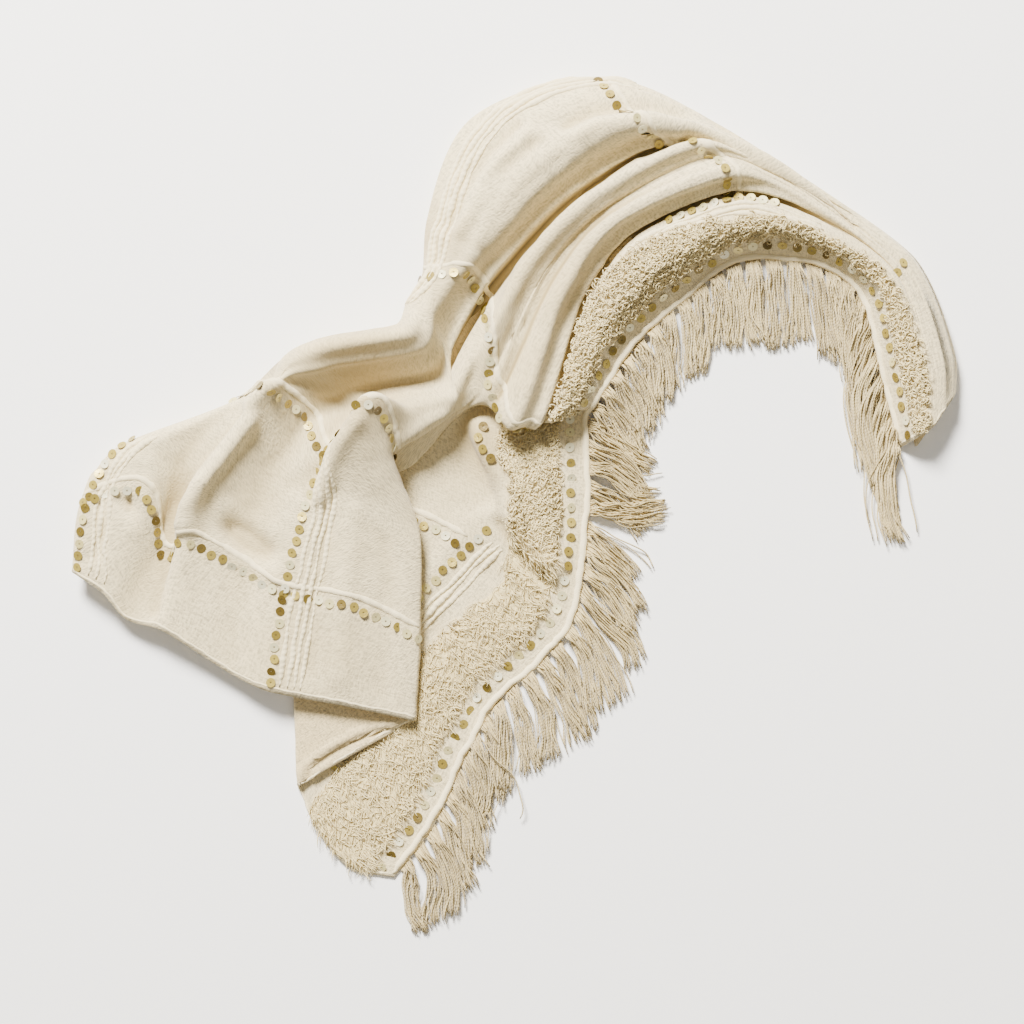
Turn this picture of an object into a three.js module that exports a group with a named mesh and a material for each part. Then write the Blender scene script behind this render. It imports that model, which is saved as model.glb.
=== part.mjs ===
// Cream throw blanket with one fringed end, laid out in soft folds on a flat surface.
// Millimetres, +Z up. The surface lies at z = 0.
import * as THREE from "three";

// Driving dimensions
const clothThickness = 2.4;
const pileHeight = 5;
const pileSteps = 4;
const hiddenPasses = 5;
const layerPitch = 4.4;
const foldLift = 8;
const foldSpreadShare = 0.08;
const bunchPitch = 31;
const fringeThickness = 6;
const fringeTipThickness = 3;
const fringeGap = 0.68;
const bunchUnevenness = 0.07;
const bunchPhaseStep = 2.3;

// The middle of the laid-out throw in the table below. The part's origin is under it, on the surface.
const layoutCentre = new THREE.Vector3(4.1, 5.6, 0);

// Visible fold lines in order, from the fringed hem to the outer crest, where the cloth turns under.
const foldLines = [
  "hem", "pile", "row", "foot", "under", "over", "brow",
  "stripe", "hollow", "ridge", "gully", "lobe", "crest",
];
const doubledLines = new Set(["under", "over"]);

// One row for each section across the throw, from the selvage at the lower left to the right end.
// Each fold line has its place on the surface and its height. Outer and tuck are the two ends of the
// hidden layers, hang is the way that the fringe lies, and stacked is 1 where the cloth is folded flat
// over itself and 0 where it runs in ridges.
const sections = {
  selvage: {
    hem: [-143, -442, 2], pile: [-197, -430, 3], row: [-240, -378, 2], foot: [-250, -352, 2],
    under: [-257, -330, 5], over: [-118, -251, 17], brow: [-200, -233, 30], stripe: [-293, -215, 30],
    hollow: [-339, -194, 24], ridge: [-420, -142, 30], gully: [-464, -129, 22], lobe: [-492, -97, 31],
    crest: [-528, -72, 26], outer: [-520, -76], tuck: [-290, -150], hang: [15, -75], stacked: 1,
  },
  firstCord: {
    hem: [-97, -383, 2], pile: [-150, -345, 4], row: [-205, -290, 3], foot: [-225, -275, 3],
    under: [-261, -262, 6], over: [-112, -147, 22], brow: [-190, -108, 42], stripe: [-272, -92, 38],
    hollow: [-320, -66, 28], ridge: [-390, -30, 40], gully: [-418, -48, 22], lobe: [-442, 32, 45],
    crest: [-518, 10, 27], outer: [-508, 6], tuck: [-290, -70], hang: [28, -90], stacked: 1,
  },
  panel: {
    hem: [-28, -243, 2], pile: [-88, -192, 6], row: [-128, -120, 5], foot: [-150, -100, 4],
    under: [-258, -150, 8], over: [-112, -22, 28], brow: [-182, 5, 52], stripe: [-250, -10, 46],
    hollow: [-312, 0, 30], ridge: [-368, 50, 52], gully: [-392, 62, 38], lobe: [-425, 82, 46],
    crest: [-478, 74, 27], outer: [-468, 70], tuck: [-290, 10], hang: [15, -92], stacked: 1,
  },
  secondCord: {
    hem: [70, -135, 2], pile: [5, -92, 9], row: [-52, -40, 9], foot: [-100, -12, 7],
    under: [-190, 20, 11], over: [-142, 72, 40], brow: [-168, 134, 95], stripe: [-222, 75, 58],
    hollow: [-240, 112, 38], ridge: [-286, 150, 72], gully: [-304, 146, 58], lobe: [-318, 140, 42],
    crest: [-332, 133, 24], outer: [-322, 127], tuck: [-240, 72], hang: [38, -104], stacked: 1,
  },
  strip: {
    hem: [91, -10, 4], pile: [45, 0, 16], row: [-6, 14, 24], foot: [-28, 18, 8],
    under: [-120, 60, 13], over: [-103, 95, 40], brow: [-118, 124, 58], stripe: [-150, 136, 40],
    hollow: [-165, 150, 27], ridge: [-212, 178, 64], gully: [-229, 191, 80], lobe: [-245, 199, 62],
    crest: [-256, 197, 24], outer: [-248, 190], tuck: [-180, 150], hang: [76, -42], stacked: 1,
  },
  flapTop: {
    hem: [90, 80, 6], pile: [45, 88, 14], row: [-38, 100, 20], foot: [-52, 108, 9],
    under: [-70, 112, 13], over: [-68, 122, 38], brow: [-66, 138, 54], stripe: [-76, 150, 40],
    hollow: [-84, 170, 26], ridge: [-106, 200, 62], gully: [-120, 214, 78], lobe: [-131, 223, 58],
    crest: [-137, 225, 24], outer: [-130, 217], tuck: [-90, 180], hang: [62, -44], stacked: 1,
  },
  underLip: {
    hem: [92, 118, 5], pile: [60, 128, 6], row: [22, 136, 6], foot: [5, 139, 6],
    under: [-22, 138, 10], over: [-54, 128, 28], brow: [-66, 150, 46], stripe: [-76, 190, 26],
    hollow: [-86, 224, 52], ridge: [-98, 240, 66], gully: [-110, 248, 62], lobe: [-120, 252, 46],
    crest: [-125, 252, 24], outer: [-114, 246], tuck: [-40, 175], hang: [62, -58], stacked: 0.5,
  },
  thirdCord: {
    hem: [100, 134, 18], pile: [68, 122, 37], row: [46, 114, 43], foot: [32, 108, 37],
    under: [-4, 106, 53], over: [-22, 152, 47], brow: [-24, 218, 60], stripe: [-38, 264, 29],
    hollow: [-55, 290, 62], ridge: [-80, 288, 64], gully: [-94, 285, 56], lobe: [-102, 284, 42],
    crest: [-107, 283, 24], outer: [-96, 280], tuck: [45, 175], hang: [44, -68], stacked: 0,
  },
  leg: {
    hem: [150, 204, 6], pile: [118, 236, 40], row: [93, 252, 36], foot: [83, 259, 25],
    under: [60, 272, 54], over: [40, 285, 46], brow: [18, 296, 60], stripe: [-4, 306, 29],
    hollow: [-30, 322, 66], ridge: [-66, 338, 62], gully: [-85, 346, 49], lobe: [-95, 350, 35],
    crest: [-101, 352, 24], outer: [-92, 348], tuck: [122, 238], hang: [12, -86], stacked: 0,
  },
  shoulder: {
    hem: [212, 262, 4], pile: [180, 300, 44], row: [150, 328, 38], foot: [141, 337, 25],
    under: [121, 349, 56], over: [103, 359, 47], brow: [86, 368, 60], stripe: [68, 380, 29],
    hollow: [40, 402, 68], ridge: [2, 434, 65], gully: [-28, 455, 50], lobe: [-43, 464, 35],
    crest: [-52, 469, 24], outer: [-44, 461], tuck: [184, 292], hang: [6, -86], stacked: 0,
  },
  fourthCord: {
    hem: [280, 306, 3], pile: [276, 345, 44], row: [270, 376, 38], foot: [265, 390, 27],
    under: [260, 408, 54], over: [245, 424, 48], brow: [222, 438, 58], stripe: [190, 447, 33],
    hollow: [155, 463, 66], ridge: [130, 486, 58], gully: [116, 507, 46], lobe: [110, 516, 33],
    crest: [107, 521, 24], outer: [112, 511], tuck: [276, 336], hang: [12, -100], stacked: 0,
  },
  top: {
    hem: [365, 302, 3], pile: [360, 334, 38], row: [351, 356, 35], foot: [340, 374, 28],
    under: [329, 389, 40], over: [318, 402, 38], brow: [306, 414, 41], stripe: [294, 424, 34],
    hollow: [282, 434, 39], ridge: [271, 444, 36], gully: [262, 452, 32], lobe: [255, 459, 28],
    crest: [250, 464, 24], outer: [257, 456], tuck: [358, 330], hang: [12, -104], stacked: 0,
  },
  turn: {
    hem: [421, 266, 3], pile: [442, 277, 34], row: [457, 284, 38], foot: [460, 286, 32],
    under: [462, 288, 34], over: [464, 290, 34], brow: [465, 292, 33], stripe: [466, 294, 31],
    hollow: [467, 296, 31], ridge: [468, 298, 30], gully: [469, 300, 29], lobe: [470, 302, 29],
    crest: [471, 304, 28], outer: [486, 304], tuck: [446, 277], hang: [6, -124], stacked: 0,
  },
  lastCord: {
    hem: [449, 166, 3], pile: [474, 168, 32], row: [493, 171, 36], foot: [497, 172, 36],
    under: [500, 173, 36], over: [503, 174, 36], brow: [506, 175, 35], stripe: [508, 176, 35],
    hollow: [510, 177, 34], ridge: [512, 178, 34], gully: [514, 179, 33], lobe: [516, 180, 32],
    crest: [518, 181, 30], outer: [534, 185], tuck: [478, 162], hang: [-14, -136], stacked: 0,
  },
  end: {
    hem: [470, 78, 3], pile: [484, 88, 28], row: [498, 96, 33], foot: [501, 98, 33],
    under: [504, 101, 33], over: [507, 104, 33], brow: [509, 107, 33], stripe: [511, 110, 32],
    hollow: [513, 113, 32], ridge: [515, 116, 31], gully: [517, 119, 31], lobe: [519, 122, 30],
    crest: [521, 125, 29], outer: [534, 144], tuck: [488, 80], hang: [-8, -112], stacked: 0,
  },
};
const rows = Object.values(sections);

// A smooth curve through points. The tangents are no longer than the nearer neighbour is away, so a long
// flat stretch stays flat beside a tight turn.
function tangentAt(points, index) {
  const here = points[index];
  const before = points[Math.max(index - 1, 0)];
  const after = points[Math.min(index + 1, points.length - 1)];
  const incoming = here.clone().sub(before);
  const outgoing = after.clone().sub(here);
  const isEnd = index === 0 || index === points.length - 1;
  const reach = isEnd
    ? incoming.length() + outgoing.length()
    : Math.min(incoming.length(), outgoing.length());
  return incoming.normalize().add(outgoing.normalize()).setLength(reach);
}

function threadCurve(points, stepCounts) {
  const threaded = [points[0].clone()];
  stepCounts.forEach((steps, index) => {
    const start = points[index];
    const end = points[index + 1];
    const leave = tangentAt(points, index);
    const arrive = tangentAt(points, index + 1);
    for (let step = 1; step <= steps; step += 1) {
      const t = step / steps;
      const place = new THREE.Vector3();
      place.addScaledVector(start, (1 + 2 * t) * (1 - t) ** 2);
      place.addScaledVector(leave, t * (1 - t) ** 2);
      place.addScaledVector(end, t * t * (3 - 2 * t));
      place.addScaledVector(arrive, t * t * (t - 1));
      threaded.push(place);
    }
  });
  return threaded;
}

// The two points of a fold: one above the other where the cloth lies folded flat, side by side on a ridge.
function foldPair(section, name) {
  const position = foldLines.indexOf(name);
  const here = new THREE.Vector3(...section[name]);
  const before = new THREE.Vector3(...section[foldLines[position - 1]]);
  const after = new THREE.Vector3(...section[foldLines[position + 1]]);
  const along = after.sub(before).setZ(0).multiplyScalar((1 - section.stacked) * foldSpreadShare);
  const half = along.add(new THREE.Vector3(0, 0, section.stacked * foldLift / 2));
  return [here.clone().sub(half), here.clone().add(half)];
}

// The hidden layers run back and forth between outer and tuck, the last one flat on the surface.
function hiddenPoints(section) {
  const outer = new THREE.Vector2(...section.outer);
  const tuck = new THREE.Vector2(...section.tuck);
  const points = [];
  for (let pass = 0; pass < hiddenPasses; pass += 1) {
    const height = clothThickness / 2 + (hiddenPasses - 1 - pass) * layerPitch;
    const ends = pass % 2 === 0 ? [outer, tuck] : [tuck, outer];
    for (const end of ends) {
      points.push(new THREE.Vector3(end.x, end.y, height));
    }
  }
  return points;
}

function sectionPoints(section) {
  const visible = foldLines.flatMap((name) => (
    doubledLines.has(name) ? foldPair(section, name) : [new THREE.Vector3(...section[name])]
  ));
  return [...visible, ...hiddenPoints(section)];
}

// About one step along the throw for each bunch of the fringe.
function stepsAlong() {
  return rows.slice(1).map((section, index) => {
    const gap = Math.hypot(section.hem[0] - rows[index].hem[0], section.hem[1] - rows[index].hem[1]);
    return Math.max(2, Math.round(gap / bunchPitch));
  });
}

// Two steps across the throw between fold lines, and one where a hidden layer runs straight.
function stepsAcross() {
  const visibleGaps = foldLines.length + doubledLines.size - 1;
  const hiddenGaps = 2 * hiddenPasses;
  return Array.from({ length: visibleGaps + hiddenGaps }, (_, gap) => (
    gap > visibleGaps && (gap - visibleGaps) % 2 === 1 ? 1 : 2
  ));
}

// The middle surface of the cloth: columns[i][j] with i along the fringed hem and j across the throw.
function middleSurface() {
  const sectionLists = rows.map(sectionPoints);
  const lines = sectionLists[0].map((_, line) => (
    threadCurve(sectionLists.map((list) => list[line]), stepsAlong())
  ));
  return lines[0].map((_, column) => (
    threadCurve(lines.map((line) => line[column]), stepsAcross()).map((place) => (
      place.setZ(Math.max(place.z, clothThickness / 2))
    ))
  ));
}

function surfaceNormal(columns, i, j) {
  const nextColumn = columns[Math.min(i + 1, columns.length - 1)][j];
  const lastColumn = columns[Math.max(i - 1, 0)][j];
  const nextPlace = columns[i][Math.min(j + 1, columns[i].length - 1)];
  const lastPlace = columns[i][Math.max(j - 1, 0)];
  const along = nextColumn.clone().sub(lastColumn);
  const across = nextPlace.clone().sub(lastPlace);
  return along.cross(across).normalize();
}

// A closed body between two grids of the same shape, the upper one on the side that the normals point to.
function slabGeometry(upper, lower) {
  const columnCount = upper.length;
  const rowCount = upper[0].length;
  const places = [...upper.flat(), ...lower.flat()];
  const lowerStart = columnCount * rowCount;
  const indices = [];
  const addQuad = (a, b, c, d) => indices.push(a, b, c, a, c, d);
  const at = (i, j) => i * rowCount + j;
  for (let i = 0; i + 1 < columnCount; i += 1) {
    for (let j = 0; j + 1 < rowCount; j += 1) {
      const corners = [at(i, j), at(i + 1, j), at(i + 1, j + 1), at(i, j + 1)];
      addQuad(...corners);
      addQuad(...corners.map((corner) => corner + lowerStart).reverse());
    }
    addQuad(at(i, 0) + lowerStart, at(i + 1, 0) + lowerStart, at(i + 1, 0), at(i, 0));
    const last = rowCount - 1;
    addQuad(at(i, last), at(i + 1, last), at(i + 1, last) + lowerStart, at(i, last) + lowerStart);
  }
  for (let j = 0; j + 1 < rowCount; j += 1) {
    addQuad(at(0, j), at(0, j + 1), at(0, j + 1) + lowerStart, at(0, j) + lowerStart);
    const last = columnCount - 1;
    addQuad(at(last, j) + lowerStart, at(last, j + 1) + lowerStart, at(last, j + 1), at(last, j));
  }
  const geometry = new THREE.BufferGeometry().setFromPoints(places);
  geometry.setIndex(indices);
  return geometry;
}

// The pile stands up between the hem and the second row of sequins, a few steps across the throw.
function pileRise(j) {
  return pileHeight * Math.sin(Math.PI * Math.min(j / pileSteps, 1));
}

function clothFaces(columns) {
  const offsetBy = (distance) => columns.map((column, i) => column.map((place, j) => (
    place.clone().addScaledVector(surfaceNormal(columns, i, j), distance(j))
  )));
  return {
    upper: offsetBy((j) => clothThickness / 2 + pileRise(j)),
    lower: offsetBy(() => -clothThickness / 2),
  };
}

// The way out of the hem's edge face at each column, square to the edge.
function hemOutward(columns, i) {
  const before = columns[Math.max(i - 1, 0)][0];
  const after = columns[Math.min(i + 1, columns.length - 1)][0];
  const along = after.clone().sub(before).normalize();
  return along.cross(surfaceNormal(columns, i, 0)).normalize();
}

// One root point for each end and each middle of a bunch, a gap outside the cloth's edge face.
function fringeRoots(columns, face) {
  const corners = face.map((column, i) => (
    column[0].clone().addScaledVector(hemOutward(columns, i), fringeGap)
  ));
  return corners.flatMap((corner, i) => (
    i + 1 < corners.length ? [corner, corner.clone().lerp(corners[i + 1], 0.5)] : [corner]
  ));
}

// The fringe is one comb. Its bunches are joined along the hem and part towards their tips.
function fringeFaces(columns, clothUpper, clothLower) {
  const tops = fringeRoots(columns, clothUpper);
  const bottoms = fringeRoots(columns, clothLower);
  const hangs = threadCurve(
    rows.map((section) => new THREE.Vector3(...section.hang, 0)),
    stepsAlong().map((steps) => 2 * steps),
  );
  const bunchRows = [
    { bunch: 0.14, notch: 0.14, top: fringeThickness },
    { bunch: 0.55, notch: 0.4, top: fringeThickness },
    { bunch: 1, notch: 0.66, top: fringeTipThickness },
  ];
  const lay = (roots, heightOf) => roots.map((root, i) => {
    const uneven = 1 + bunchUnevenness * Math.sin(i * bunchPhaseStep);
    const laid = bunchRows.map((row) => {
      const reach = i % 2 === 1 ? row.bunch * uneven : row.notch;
      return root.clone().addScaledVector(hangs[i], reach).setZ(heightOf(row));
    });
    return [...laid.reverse(), root];
  });
  return { upper: lay(tops, (row) => row.top), lower: lay(bottoms, () => 0) };
}

function makeCloth(faces) {
  const material = new THREE.MeshStandardMaterial({ color: 0xece4d4, roughness: 0.95, metalness: 0 });
  const cloth = new THREE.Mesh(slabGeometry(faces.upper, faces.lower), material);
  cloth.name = "throw_cloth";
  return cloth;
}

function makeFringe(faces) {
  const material = new THREE.MeshStandardMaterial({ color: 0xd8c8a6, roughness: 0.95, metalness: 0 });
  const fringe = new THREE.Mesh(slabGeometry(faces.upper, faces.lower), material);
  fringe.name = "fringe";
  return fringe;
}

const middle = middleSurface();
const clothBody = clothFaces(middle);
const throwBlanket = new THREE.Group();
throwBlanket.add(makeCloth(clothBody));
throwBlanket.add(makeFringe(fringeFaces(middle, clothBody.upper, clothBody.lower)));
throwBlanket.position.copy(layoutCentre).negate();

export default throwBlanket;
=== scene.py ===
"""Cream throw blanket with a shag band, sequins and a fringed end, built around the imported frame."""

import math

import bpy
import numpy as np
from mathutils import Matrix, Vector, noise


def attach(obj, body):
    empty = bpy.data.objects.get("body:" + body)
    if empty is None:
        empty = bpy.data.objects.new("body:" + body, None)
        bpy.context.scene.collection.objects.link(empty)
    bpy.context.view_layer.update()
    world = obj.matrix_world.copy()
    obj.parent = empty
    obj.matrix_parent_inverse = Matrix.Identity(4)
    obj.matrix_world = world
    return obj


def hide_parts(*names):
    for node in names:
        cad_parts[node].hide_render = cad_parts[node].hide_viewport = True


bl_info = {
    "name": "Throw blanket",
    "version": (1, 0, 0),
    "blender": (4, 5, 0),
    "location": "3D View > Sidebar > Throw",
    "description": "Builds a folded throw with its pile, sequins, cords and fringe",
    "category": "Add Mesh",
}

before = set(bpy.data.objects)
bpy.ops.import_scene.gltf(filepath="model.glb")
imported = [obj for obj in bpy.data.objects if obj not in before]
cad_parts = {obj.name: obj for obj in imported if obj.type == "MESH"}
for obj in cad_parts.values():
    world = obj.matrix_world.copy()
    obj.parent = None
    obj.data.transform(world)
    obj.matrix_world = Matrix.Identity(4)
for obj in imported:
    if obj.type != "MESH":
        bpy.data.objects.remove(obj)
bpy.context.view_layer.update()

MM = 0.001
TINY = 1e-9

# The throw as it was cut, and how it lies. Lengths here and in the tables below are millimetres.
FLAT_WIDTH = 1270.0
CLOTH_THICKNESS = 2.4
HIDDEN_PASSES = 5
LAYER_PITCH = 4.4
FOLD_LIFT = 8.0
FOLD_SPREAD_SHARE = 0.08
LAYOUT_CENTRE = (4.1, 5.6, 0.0)

# Visible fold lines in order, from the fringed hem to the outer crest, where the cloth turns under.
FOLD_LINES = ("hem", "pile", "row", "foot", "under", "over", "brow",
              "stripe", "hollow", "ridge", "gully", "lobe", "crest")
DOUBLED_LINES = ("under", "over")

# One row for each section across the throw, from the selvage at the lower left to the right end. Each
# fold line has its place on the surface and its height. Outer and tuck are the two ends of the hidden
# layers, hang is the way that the fringe lies, and stacked is 1 where the cloth is folded flat over
# itself and 0 where it runs in ridges.
SECTIONS = {
    "selvage": dict(
        hem=(-143, -442, 2), pile=(-197, -430, 3), row=(-240, -378, 2), foot=(-250, -352, 2),
        under=(-257, -330, 5), over=(-118, -251, 17), brow=(-200, -233, 30), stripe=(-293, -215, 30),
        hollow=(-339, -194, 24), ridge=(-420, -142, 30), gully=(-464, -129, 22), lobe=(-492, -97, 31),
        crest=(-528, -72, 26), outer=(-520, -76), tuck=(-290, -150), hang=(15, -75), stacked=1),
    "first_cord": dict(
        hem=(-97, -383, 2), pile=(-150, -345, 4), row=(-205, -290, 3), foot=(-225, -275, 3),
        under=(-261, -262, 6), over=(-112, -147, 22), brow=(-190, -108, 42), stripe=(-272, -92, 38),
        hollow=(-320, -66, 28), ridge=(-390, -30, 40), gully=(-418, -48, 22), lobe=(-442, 32, 45),
        crest=(-518, 10, 27), outer=(-508, 6), tuck=(-290, -70), hang=(28, -90), stacked=1),
    "panel": dict(
        hem=(-28, -243, 2), pile=(-88, -192, 6), row=(-128, -120, 5), foot=(-150, -100, 4),
        under=(-258, -150, 8), over=(-112, -22, 28), brow=(-182, 5, 52), stripe=(-250, -10, 46),
        hollow=(-312, 0, 30), ridge=(-368, 50, 52), gully=(-392, 62, 38), lobe=(-425, 82, 46),
        crest=(-478, 74, 27), outer=(-468, 70), tuck=(-290, 10), hang=(15, -92), stacked=1),
    "second_cord": dict(
        hem=(70, -135, 2), pile=(5, -92, 9), row=(-52, -40, 9), foot=(-100, -12, 7),
        under=(-190, 20, 11), over=(-142, 72, 40), brow=(-168, 134, 95), stripe=(-222, 75, 58),
        hollow=(-240, 112, 38), ridge=(-286, 150, 72), gully=(-304, 146, 58), lobe=(-318, 140, 42),
        crest=(-332, 133, 24), outer=(-322, 127), tuck=(-240, 72), hang=(38, -104), stacked=1),
    "strip": dict(
        hem=(91, -10, 4), pile=(45, 0, 16), row=(-6, 14, 24), foot=(-28, 18, 8),
        under=(-120, 60, 13), over=(-103, 95, 40), brow=(-118, 124, 58), stripe=(-150, 136, 40),
        hollow=(-165, 150, 27), ridge=(-212, 178, 64), gully=(-229, 191, 80), lobe=(-245, 199, 62),
        crest=(-256, 197, 24), outer=(-248, 190), tuck=(-180, 150), hang=(76, -42), stacked=1),
    "flap_top": dict(
        hem=(90, 80, 6), pile=(45, 88, 14), row=(-38, 100, 20), foot=(-52, 108, 9),
        under=(-70, 112, 13), over=(-68, 122, 38), brow=(-66, 138, 54), stripe=(-76, 150, 40),
        hollow=(-84, 170, 26), ridge=(-106, 200, 62), gully=(-120, 214, 78), lobe=(-131, 223, 58),
        crest=(-137, 225, 24), outer=(-130, 217), tuck=(-90, 180), hang=(62, -44), stacked=1),
    "under_lip": dict(
        hem=(92, 118, 5), pile=(60, 128, 6), row=(22, 136, 6), foot=(5, 139, 6),
        under=(-22, 138, 10), over=(-54, 128, 28), brow=(-66, 150, 46), stripe=(-76, 190, 26),
        hollow=(-86, 224, 52), ridge=(-98, 240, 66), gully=(-110, 248, 62), lobe=(-120, 252, 46),
        crest=(-125, 252, 24), outer=(-114, 246), tuck=(-40, 175), hang=(62, -58), stacked=0.5),
    "third_cord": dict(
        hem=(100, 134, 18), pile=(68, 122, 37), row=(46, 114, 43), foot=(32, 108, 37),
        under=(-4, 106, 53), over=(-22, 152, 47), brow=(-24, 218, 60), stripe=(-38, 264, 29),
        hollow=(-55, 290, 62), ridge=(-80, 288, 64), gully=(-94, 285, 56), lobe=(-102, 284, 42),
        crest=(-107, 283, 24), outer=(-96, 280), tuck=(45, 175), hang=(44, -68), stacked=0),
    "leg": dict(
        hem=(150, 204, 6), pile=(118, 236, 40), row=(93, 252, 36), foot=(83, 259, 25),
        under=(60, 272, 54), over=(40, 285, 46), brow=(18, 296, 60), stripe=(-4, 306, 29),
        hollow=(-30, 322, 66), ridge=(-66, 338, 62), gully=(-85, 346, 49), lobe=(-95, 350, 35),
        crest=(-101, 352, 24), outer=(-92, 348), tuck=(122, 238), hang=(12, -86), stacked=0),
    "shoulder": dict(
        hem=(212, 262, 4), pile=(180, 300, 44), row=(150, 328, 38), foot=(141, 337, 25),
        under=(121, 349, 56), over=(103, 359, 47), brow=(86, 368, 60), stripe=(68, 380, 29),
        hollow=(40, 402, 68), ridge=(2, 434, 65), gully=(-28, 455, 50), lobe=(-43, 464, 35),
        crest=(-52, 469, 24), outer=(-44, 461), tuck=(184, 292), hang=(6, -86), stacked=0),
    "fourth_cord": dict(
        hem=(280, 306, 3), pile=(276, 345, 44), row=(270, 376, 38), foot=(265, 390, 27),
        under=(260, 408, 54), over=(245, 424, 48), brow=(222, 438, 58), stripe=(190, 447, 33),
        hollow=(155, 463, 66), ridge=(130, 486, 58), gully=(116, 507, 46), lobe=(110, 516, 33),
        crest=(107, 521, 24), outer=(112, 511), tuck=(276, 336), hang=(12, -100), stacked=0),
    "top": dict(
        hem=(365, 302, 3), pile=(360, 334, 38), row=(351, 356, 35), foot=(340, 374, 28),
        under=(329, 389, 40), over=(318, 402, 38), brow=(306, 414, 41), stripe=(294, 424, 34),
        hollow=(282, 434, 39), ridge=(271, 444, 36), gully=(262, 452, 32), lobe=(255, 459, 28),
        crest=(250, 464, 24), outer=(257, 456), tuck=(358, 330), hang=(12, -104), stacked=0),
    "turn": dict(
        hem=(421, 266, 3), pile=(442, 277, 34), row=(457, 284, 38), foot=(460, 286, 32),
        under=(462, 288, 34), over=(464, 290, 34), brow=(465, 292, 33), stripe=(466, 294, 31),
        hollow=(467, 296, 31), ridge=(468, 298, 30), gully=(469, 300, 29), lobe=(470, 302, 29),
        crest=(471, 304, 28), outer=(486, 304), tuck=(446, 277), hang=(6, -124), stacked=0),
    "last_cord": dict(
        hem=(449, 166, 3), pile=(474, 168, 32), row=(493, 171, 36), foot=(497, 172, 36),
        under=(500, 173, 36), over=(503, 174, 36), brow=(506, 175, 35), stripe=(508, 176, 35),
        hollow=(510, 177, 34), ridge=(512, 178, 34), gully=(514, 179, 33), lobe=(516, 180, 32),
        crest=(518, 181, 30), outer=(534, 185), tuck=(478, 162), hang=(-14, -136), stacked=0),
    "end": dict(
        hem=(470, 78, 3), pile=(484, 88, 28), row=(498, 96, 33), foot=(501, 98, 33),
        under=(504, 101, 33), over=(507, 104, 33), brow=(509, 107, 33), stripe=(511, 110, 32),
        hollow=(513, 113, 32), ridge=(515, 116, 31), gully=(517, 119, 31), lobe=(519, 122, 30),
        crest=(521, 125, 29), outer=(534, 144), tuck=(488, 80), hang=(-8, -112), stacked=0),
}
SECTION_NAMES = list(SECTIONS)


def soft(rise, width, *line):
    """A crease that stands up along its line, or sinks where its rise is negative."""
    return dict(rise=rise, width=width, line=line)


def lap(rise, width, *line):
    """A step where one fold laps over the next: up on the left of its line and down on the right."""
    return dict(rise=rise, width=width, line=line, step=True)


# Creases listed for each part of the cloth, in millimetres on the layout: how far each rises, how
# far it spreads to each side, and the points of its line.
CREASES = {
    "fan": (
        soft(-10, 14, (-292, 166), (-250, 150), (-208, 138)),
        soft(5, 7, (-300, 155), (-260, 145), (-220, 142), (-180, 139)),
        lap(6, 8, (-180, 124), (-212, 84), (-228, 50), (-238, 10)),
        soft(-4, 9, (-232, 52), (-262, 30)),
        soft(-12, 15, (-334, -24), (-316, -38), (-298, -50)),
        soft(5, 12, (-350, -36), (-320, -58), (-280, -76)),
        lap(10, 8, (-312, 122), (-348, 76), (-380, 36), (-395, 7), (-404, -25)),
        soft(-8, 8, (-410, -20), (-417, -57), (-430, -120)),
        soft(-12, 9, (-462, 14), (-458, 6)),
        soft(5, 10, (-500, 40), (-508, 0), (-512, -40)),
        soft(-5, 7, (-488, 44), (-492, 0), (-498, -50)),
        soft(4, 12, (-186, 0), (-196, -80), (-205, -200)),
        soft(-4, 10, (-215, 20), (-228, -70), (-240, -190)),
        soft(-3, 12, (-150, -40), (-150, -130), (-158, -220)),
        lap(7, 7, (-140, 70), (-105, 95), (-70, 115)),
    ),
    "middle": (
        lap(5, 3, (-122, -252), (-178, -266), (-222, -288), (-246, -307), (-256, -335)),
    ),
    "flap": (
        soft(5, 9, (-44, 104), (-30, 60), (-14, 26), (4, -10)),
        soft(-4, 9, (40, 90), (52, 40), (60, -20)),
        lap(7, 8, (-14, -2), (2, -28), (24, -56), (58, -82)),
        soft(4, 14, (-60, -30), (-100, -70), (-150, -160)),
        soft(-5, 12, (-92, -140), (-70, -190), (-40, -235)),
    ),
    "arch": (
        soft(-6, 7, (-50, 155), (-40, 190), (-30, 220)),
        soft(-7, 6, (5, 212), (18, 225)),
        soft(3, 8, (98, 302), (66, 270), (40, 244), (12, 214)),
        lap(7, 8, (210, 462), (160, 474), (100, 468), (60, 448)),
        lap(6, 9, (20, 462), (-24, 420), (-54, 372), (-74, 330)),
        soft(-5, 9, (60, 420), (20, 388), (-14, 350), (-36, 312)),
        soft(4, 7, (150, 420), (110, 404), (84, 386)),
        soft(-4, 9, (-88, 300), (-66, 350), (-30, 392), (30, 440)),
        soft(-5, 6, (245, 470), (300, 440), (360, 400), (410, 345)),
    ),
}

# Where a step fades out near its ends, in millimetres past them.
STEP_FADE = (-12, 6)

# Creases that follow a fold line from one section to another, in millimetres. A step rises on the
# crest's side of its line and sinks on the hem's side. Shade is how much shade is painted along a sharp
# crease's bottom.
FOLD_CREASES = (
    dict(line="foot", first="third_cord", last="top", rise=10, width=7, step=True, shade=1.7),
    dict(line="stripe", first="under_lip", last="top", rise=11, width=8, step=True, shade=1.9),
    dict(line="under", first="third_cord", last="fourth_cord", rise=5, width=13),
    dict(line="brow", first="third_cord", last="fourth_cord", rise=5, width=10),
    dict(line="over", first="third_cord", last="shoulder", rise=5, width=9, step=True, shade=1.3),
    dict(line="hollow", first="third_cord", last="top", rise=5, width=16),
    dict(line="hollow", first="second_cord", last="flap_top", rise=-4, width=12),
    dict(line="ridge", first="second_cord", last="under_lip", rise=6, width=9),
    dict(line="gully", first="panel", last="first_cord", rise=-3, width=10),
    dict(line="ridge", first="panel", last="first_cord", rise=5, width=12),
)
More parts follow.
